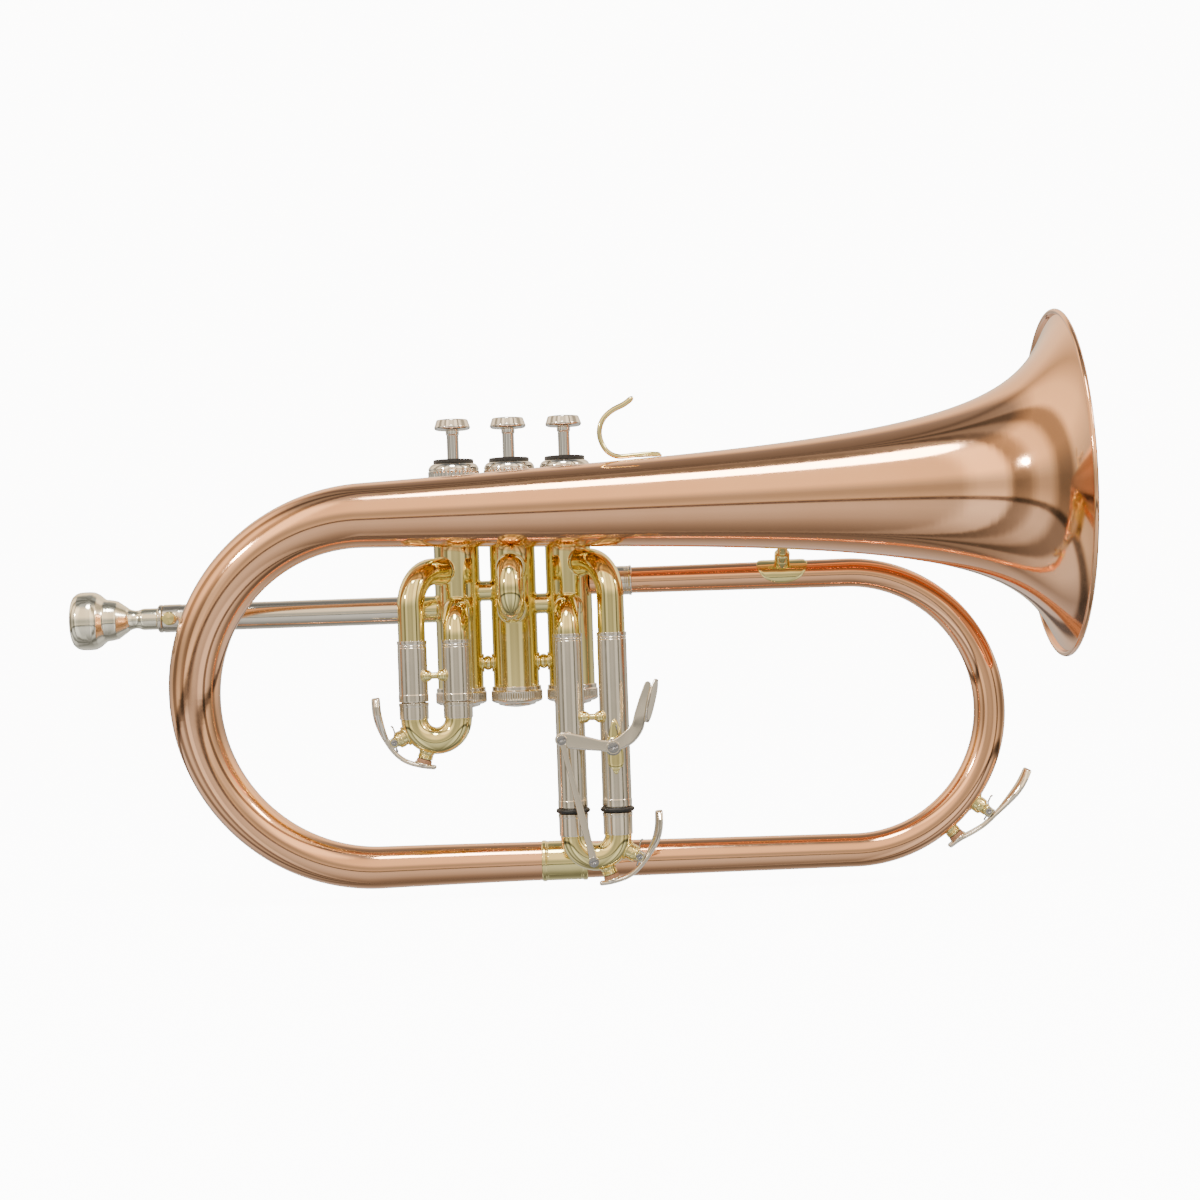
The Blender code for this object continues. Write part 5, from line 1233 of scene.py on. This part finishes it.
def water_key(name, body, key):
    """One key on a body: saddle, nipple, hinge and spring, and the lever that moves as name."""
    centre, tube, flip = np.array(key["centre"]), key["surface"], key["flip"]

    def out_at(angle):
        a = np.radians(angle if flip > 0 else -180 - angle)
        return np.array((np.cos(a), 0, np.sin(a)))

    def place(angle, height):
        return centre + (tube + height) * out_at(angle)

    nipple = [(1.2, -0.9), (3.6, -0.9), (3.5, 0.0), (3.2, 0.4), (3.2, 0.8), (3.45, 1.0)]
    nipple += [(3.2, 1.25), (3.45, 1.5), (3.2, 1.75), (3.45, 2.0)]
    nipple += [(3.3, NIPPLE_HEIGHT), (1.2, NIPPLE_HEIGHT)]
    at, out = place(key["nipple"], 0), out_at(key["nipple"])
    surface = turned(nipple, at * MM, out, 64, 0.08)
    put(f"{name}_drain_ring", surface, "yellow_brass", body, [f"{name}_nipple"])

    height = key["post"]
    at, out = place(key["pivot"], 0), out_at(key["pivot"])
    drum = [(0, -1.2), (3.6, -1.2), (3.7, 0.6), (3.8, 1.2), (3.6, 1.4), (3.8, 1.6), (3.8, 2.9)]
    drum += [(3.6, 3.1), (3.8, 3.3), (3.6, 3.9), (2.8, 4.3), (2.6, height - 3.2)]
    drum += [(2.6, height - 2.8), (2.6, height - 2.0), (0, height - 2.0)]
    neck = turned(drum, at * MM, out, 64, 0.2)
    barrel = place(key["pivot"], height - 1.6)
    ears = []
    for side in (-1, 1):
        low, high = sorted((side * 2.45, side * 3.05))
        ear = [(0, low), (1.9, low), (1.9, high), (0, high)]
        ears.append(turned(ear, barrel * MM, Y, 40, 0.12))
    along_tube = np.cross(Y, out)
    tube_middle = at - out * key["tube"]
    foot = wrapped_foot(tube_middle, along_tube, out, key["tube"], 4.6, 4.4, 0.5)
    surface = gathered(neck, foot, *ears)
    put(f"{name}_drum", surface, "yellow_brass", body, [f"{name}_saddle"])

    pad = NIPPLE_HEIGHT + 0.3 + CORK_HEIGHT + 0.2
    pivot = place(key["pivot"], height + 0.55)
    bends = [place(angle, h) for angle, h in key["bends"]]
    short_end = [place(key["end"], pad + 0.2), place(key["nipple"], pad + 0.4)]
    path = through(np.array([*short_end, *bends]), 24)
    widths = [5.6, 7.2, 7.4, 6.2, 5.0, 4.4, 4.4, 4.8, 6.0, 8.2, 9.4, 9.0, 6.4]
    strip = pressed(path * MM, widths, KEY_PLATE, Y, key["cup"], 5, 0.22)
    down = out_at(key["nipple"])
    cup = [(0, CORK_HEIGHT - 0.5), (3.7, CORK_HEIGHT - 0.9), (4.0, CORK_HEIGHT - 0.5)]
    cup += [(3.9, CORK_HEIGHT + 0.5), (3.2, CORK_HEIGHT + 1.0), (0, CORK_HEIGHT + 1.1)]
    foot_of_cork = place(key["nipple"], NIPPLE_HEIGHT + 0.3)
    cup = turned(cup, foot_of_cork * MM, down, 56, 0.15)
    hub = turned([(0, -2.3), (1.5, -2.3), (1.5, 2.3), (0, 2.3)], barrel * MM, Y, 48, 0.15)
    sides = []
    for side in (-2.0, 2.0):
        low, high = barrel + Y * side, pivot + Y * side
        path = straight(low - (high - low) * 0.5, high, 8) * MM
        sides.append(pressed(path, [2.6, 3.6, 4.4, 5.0], 0.7, np.cross(Y, high - low)))
    surface = gathered(strip, cup, hub, *sides)
    put(f"{name}_turner", surface, "nickel", name, [f"{name}_lever"])
    cork = [(0, 0), (CORK_RADIUS, 0), (CORK_RADIUS + 0.2, CORK_HEIGHT), (0, CORK_HEIGHT)]
    cork = turned(cork, foot_of_cork * MM, down, 56, 0.4)
    put(f"{name}_cork_pad", cork, "cork", name)

    screw = slotted_screw(barrel - Y * 3.05, -Y, 1.5, 0.7, 0.6, 0.3)
    across = np.cross(Y, out_at(key["pivot"])) * -flip

    def from_barrel(sideways, deep, outwards):
        return barrel + across * sideways + Y * deep + out * outwards

    tail = [from_barrel(7.2, 2.6, -1.6), from_barrel(6.4, 2.6, -2.2)]
    tail += [from_barrel(3.4, 2.4, -1.7), from_barrel(1.6, 2.2, 0.6)]
    tip = [from_barrel(-1.8, -2.2, 0.4), from_barrel(-4.4, -1.2, 0.9)]
    spring = coil(barrel + Y * 1.9, barrel - Y * 1.9, 1.95, 5, 0.45, tail, tip)
    put(f"{name}_hinge_screw", screw, "steel", body)
    put(f"{name}_hinge_spring", spring, "steel", body)


bow_key = {"centre": (RIGHT_BOW_X, 0, RIGHT_BOW_Z), "surface": RIGHT_BOW_RADIUS + 7.05, "flip": 1}
bow_key.update(nipple=-51.5, pivot=-38, end=-56, post=8.4, tube=7.05, cup=-1.7)
bow_key["bends"] = [(-46, 8.0), (-41.5, 9.6), (-36, 10.6), (-30.5, 11.6), (-25, 12.8)]
bow_key["bends"].append((-19.8, 13.6))
water_key("water_key_bow", "root", bow_key)
for number, slide in slides.items():
    middle = slide["low"] + slide["side"] * LEG_SPACING / 2
    key = {"centre": (middle, SLIDE_Y, slide["bow"]), "surface": LEG_SPACING / 2 + ELBOW_RADIUS}
    key.update(nipple=-72, pivot=-28, end=-88, post=7.0, tube=ELBOW_RADIUS, cup=-1.7)
    key.update(bends=[(-55, 7.2), (-42, 7.9), (-28, 8.4), (-10, 9.6), (5, 11.3), (20, 13.4)])
    key["flip"] = slide["side"]
    water_key(f"water_key_{number}", f"slide_{number}", key)
print("water keys done")

# %% [markdown]
# ## Springs inside the casings
#
# The valve springs can hardly be seen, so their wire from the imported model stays, and only gets
# the look of steel.

# %% Finish the springs that stay
for node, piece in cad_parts.items():
    if not node.startswith("valve_spring"):
        continue
    for place in piece.material_slots:
        place.material = finishes["steel"]
    print(node, "wears steel")

# %% [markdown]
# ## A pale studio
#
# Polished metal has no look of its own: it shows the room. So the room is designed first. The
# floor is a pale sweep that rises far behind. It is seen, but the metal doesn't reflect it. What
# the metal reflects is a dome whose tone goes by height and by compass: a warm bright band
# above, dimmer cream at eye height and a thin dark line under it, crossed by bright and dark
# stripes from side to side. Those become the long lines on the tubes. Three soft lamps add the
# small bright spots.

# %% The pale sweep
FLOOR_DROP, FLOOR_GLOW, DOME_GLOW = 6.0, 13.0, 1.4
floor_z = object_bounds()[0][2] / MM - FLOOR_DROP


def sweep(level, flat_radius, rise_radius, height):
    """A disc whose edge rises: its height is a quarter of a cosine wave of the way outwards."""
    share = np.linspace(0, 1, 24)
    inner = np.linspace(0, flat_radius, 8)[:-1]
    radius = np.concatenate([inner, flat_radius + share * rise_radius])
    lift = np.concatenate([0 * inner, height * (1 - np.cos(share * np.pi / 2))])
    turn = circle(96)
    x = radius[:, None] * np.cos(turn)
    y = radius[:, None] * np.sin(turn)
    z = level + lift[:, None] + 0 * x
    grid = np.stack([x, y, z], axis=-1)
    under = grid[::-1] - (0, 0, 20)
    return skin(np.concatenate([grid, under]) * MM)


def paper(name, colour):
    """Matte pale paper with a breath of unevenness in its tone."""
    made, tree, shader, where = shader_of(name)
    tone = noise(tree, where.outputs["Object"], 3.0, 2.0)
    paler = tuple(0.985 * c for c in colour)
    tree.links.new(blend_colours(tree, tone, colour, paler), shader.inputs["Base Color"])
    shader.inputs["Roughness"].default_value = 0.9
    shader.inputs["Specular IOR Level"].default_value = 0.1
    shader.inputs["Emission Color"].default_value = (*colour, 1)
    shader.inputs["Emission Strength"].default_value = FLOOR_GLOW
    return made


surface = sweep(floor_z, flat_radius=1400, rise_radius=2600, height=2600)
floor_mesh = make_mesh("pale_sweep", surface, sharp=60)
floor = bpy.data.objects.new("pale_sweep", floor_mesh)
bpy.context.scene.collection.objects.link(floor)
floor.data.materials.append(paper("pale paper", (0.86, 0.86, 0.86)))
floor.visible_glossy, floor.visible_diffuse = False, False
floor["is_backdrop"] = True
print("the floor lies at", round(floor_z, 1), "mm")


# %% The sky that the metal reflects
def tone_ramp(tree, value, stops):
    """Greys and warm greys along a value: each stop is a place and a colour or a grey."""
    ramp = add_node(tree, "ShaderNodeValToRGB")
    for position, _ in stops[1:-1]:
        ramp.color_ramp.elements.new(position)
    for element, (position, tone) in zip(ramp.color_ramp.elements, stops):
        element.position = position
        element.color = (*tone, 1) if isinstance(tone, tuple) else (tone, tone, tone, 1)
    tree.links.new(value, ramp.inputs[0])
    return ramp.outputs["Color"]


def height_stops():
    """By the sine of the height angle, carried from -1 to 1 onto 0 to 1."""
    warm = (1.45, 1.17, 0.84)
    cream = (0.76, 0.70, 0.60)
    dim = (0.52, 0.49, 0.43)
    return [(0.0, 0.20), (0.12, 0.55), (0.24, 0.72), (0.33, 0.72), (0.346, 0.12), (0.372, 0.12),
            (0.39, cream), (0.47, dim), (0.52, dim), (0.57, cream), (0.65, warm), (0.74, warm),
            (0.86, warm), (0.93, 0.35), (1.0, 0.20)]


def compass_stops():
    """By the compass angle, from behind the piece, through the right and the front, to the left."""
    return [(0.0, 0.80), (0.10, 0.70), (0.14, 0.95), (0.18, 0.90), (0.21, 0.34), (0.27, 0.34),
            (0.30, 0.80), (0.338, 1.15), (0.348, 0.25), (0.372, 0.25), (0.382, 1.3), (0.43, 1.3),
            (0.45, 0.70), (0.5, 0.92), (0.56, 0.80), (0.575, 1.4), (0.61, 1.4), (0.625, 0.32),
            (0.655, 0.45), (0.68, 1.0), (0.71, 0.95), (0.74, 0.30), (0.78, 0.30), (0.80, 1.0),
            (0.85, 0.90), (0.89, 0.40), (0.93, 0.80), (1.0, 0.80)]


def sky():
    """One tone by height times one by compass angle, so that tubes of any lie get soft stripes."""
    world = bpy.data.worlds.new("studio dome")
    world.use_nodes = True
    bpy.context.scene.world = world
    tree = world.node_tree
    tree.nodes.clear()
    out = add_node(tree, "ShaderNodeOutputWorld")
    glow = add_node(tree, "ShaderNodeBackground")
    glow.inputs["Strength"].default_value = DOME_GLOW
    place = add_node(tree, "ShaderNodeTexCoord")
    split = add_node(tree, "ShaderNodeSeparateXYZ")
    tree.links.new(place.outputs["Generated"], split.inputs[0])
    height = spread(tree, split.outputs["Z"], 0, 1, -1.0, 1.0)
    turn = add_node(tree, "ShaderNodeMath", operation="ARCTAN2")
    tree.links.new(split.outputs["X"], turn.inputs[0])
    away = add_node(tree, "ShaderNodeMath", operation="MULTIPLY")
    away.inputs[1].default_value = -1.0
    tree.links.new(split.outputs["Y"], away.inputs[0])
    tree.links.new(away.outputs[0], turn.inputs[1])
    compass = spread(tree, turn.outputs[0], 1, 0, -math.pi, math.pi)
    product = add_node(tree, "ShaderNodeMix", data_type="RGBA", blend_type="MULTIPLY")
    product.inputs["Factor"].default_value = 1.0
    tree.links.new(tone_ramp(tree, height, height_stops()), product.inputs["A"])
    tree.links.new(tone_ramp(tree, compass, compass_stops()), product.inputs["B"])
    tree.links.new(product.outputs["Result"], glow.inputs["Color"])
    tree.links.new(glow.outputs[0], out.inputs[0])


sky()
print("the dome:", len(height_stops()), "tones by height,", len(compass_stops()), "by compass")


# %% Soft lights and the camera
def soft_light(name, place, aim, size, power):
    """A round lamp at place, in metres, turned so that it shines at aim."""
    data = bpy.data.lights.new(name, "AREA")
    data.shape, data.size, data.energy = "DISK", size, power
    lamp = bpy.data.objects.new(name, data)
    bpy.context.scene.collection.objects.link(lamp)
    lamp.location = place
    lamp.rotation_euler = (Vector(aim) - Vector(place)).to_track_quat("-Z", "Y").to_euler()
    lamp.visible_camera = False
    lamp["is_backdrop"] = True


soft_light("lamp on the left", (-1.05, -0.95, 0.56), (0.2, 0, 0.05), 0.16, 7)
soft_light("lamp above", (-0.1, -0.9, 1.5), (0.05, 0, 0), 0.5, 14)
soft_light("lamp on the right", (1.4, -0.7, 0.9), (0.05, 0, 0), 0.3, 6)

CAMERA_PLACE, CAMERA_ROLL, LENS = (0.039, -1.0, 0.00155), math.radians(2.0), 66.3
data = bpy.data.cameras.new("product camera")
data.lens = LENS
camera = bpy.data.objects.new("product camera", data)
bpy.context.scene.collection.objects.link(camera)
camera.location = CAMERA_PLACE
camera.rotation_euler = (math.pi / 2, CAMERA_ROLL, 0)
bpy.context.scene.camera = camera
camera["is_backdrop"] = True
print("camera ready")

# %% Sizes, and the finish
visual_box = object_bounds()
for name, low, high in zip("xyz", *visual_box):
    print(name, "from", round(low / MM, 1), "to", round(high / MM, 1))
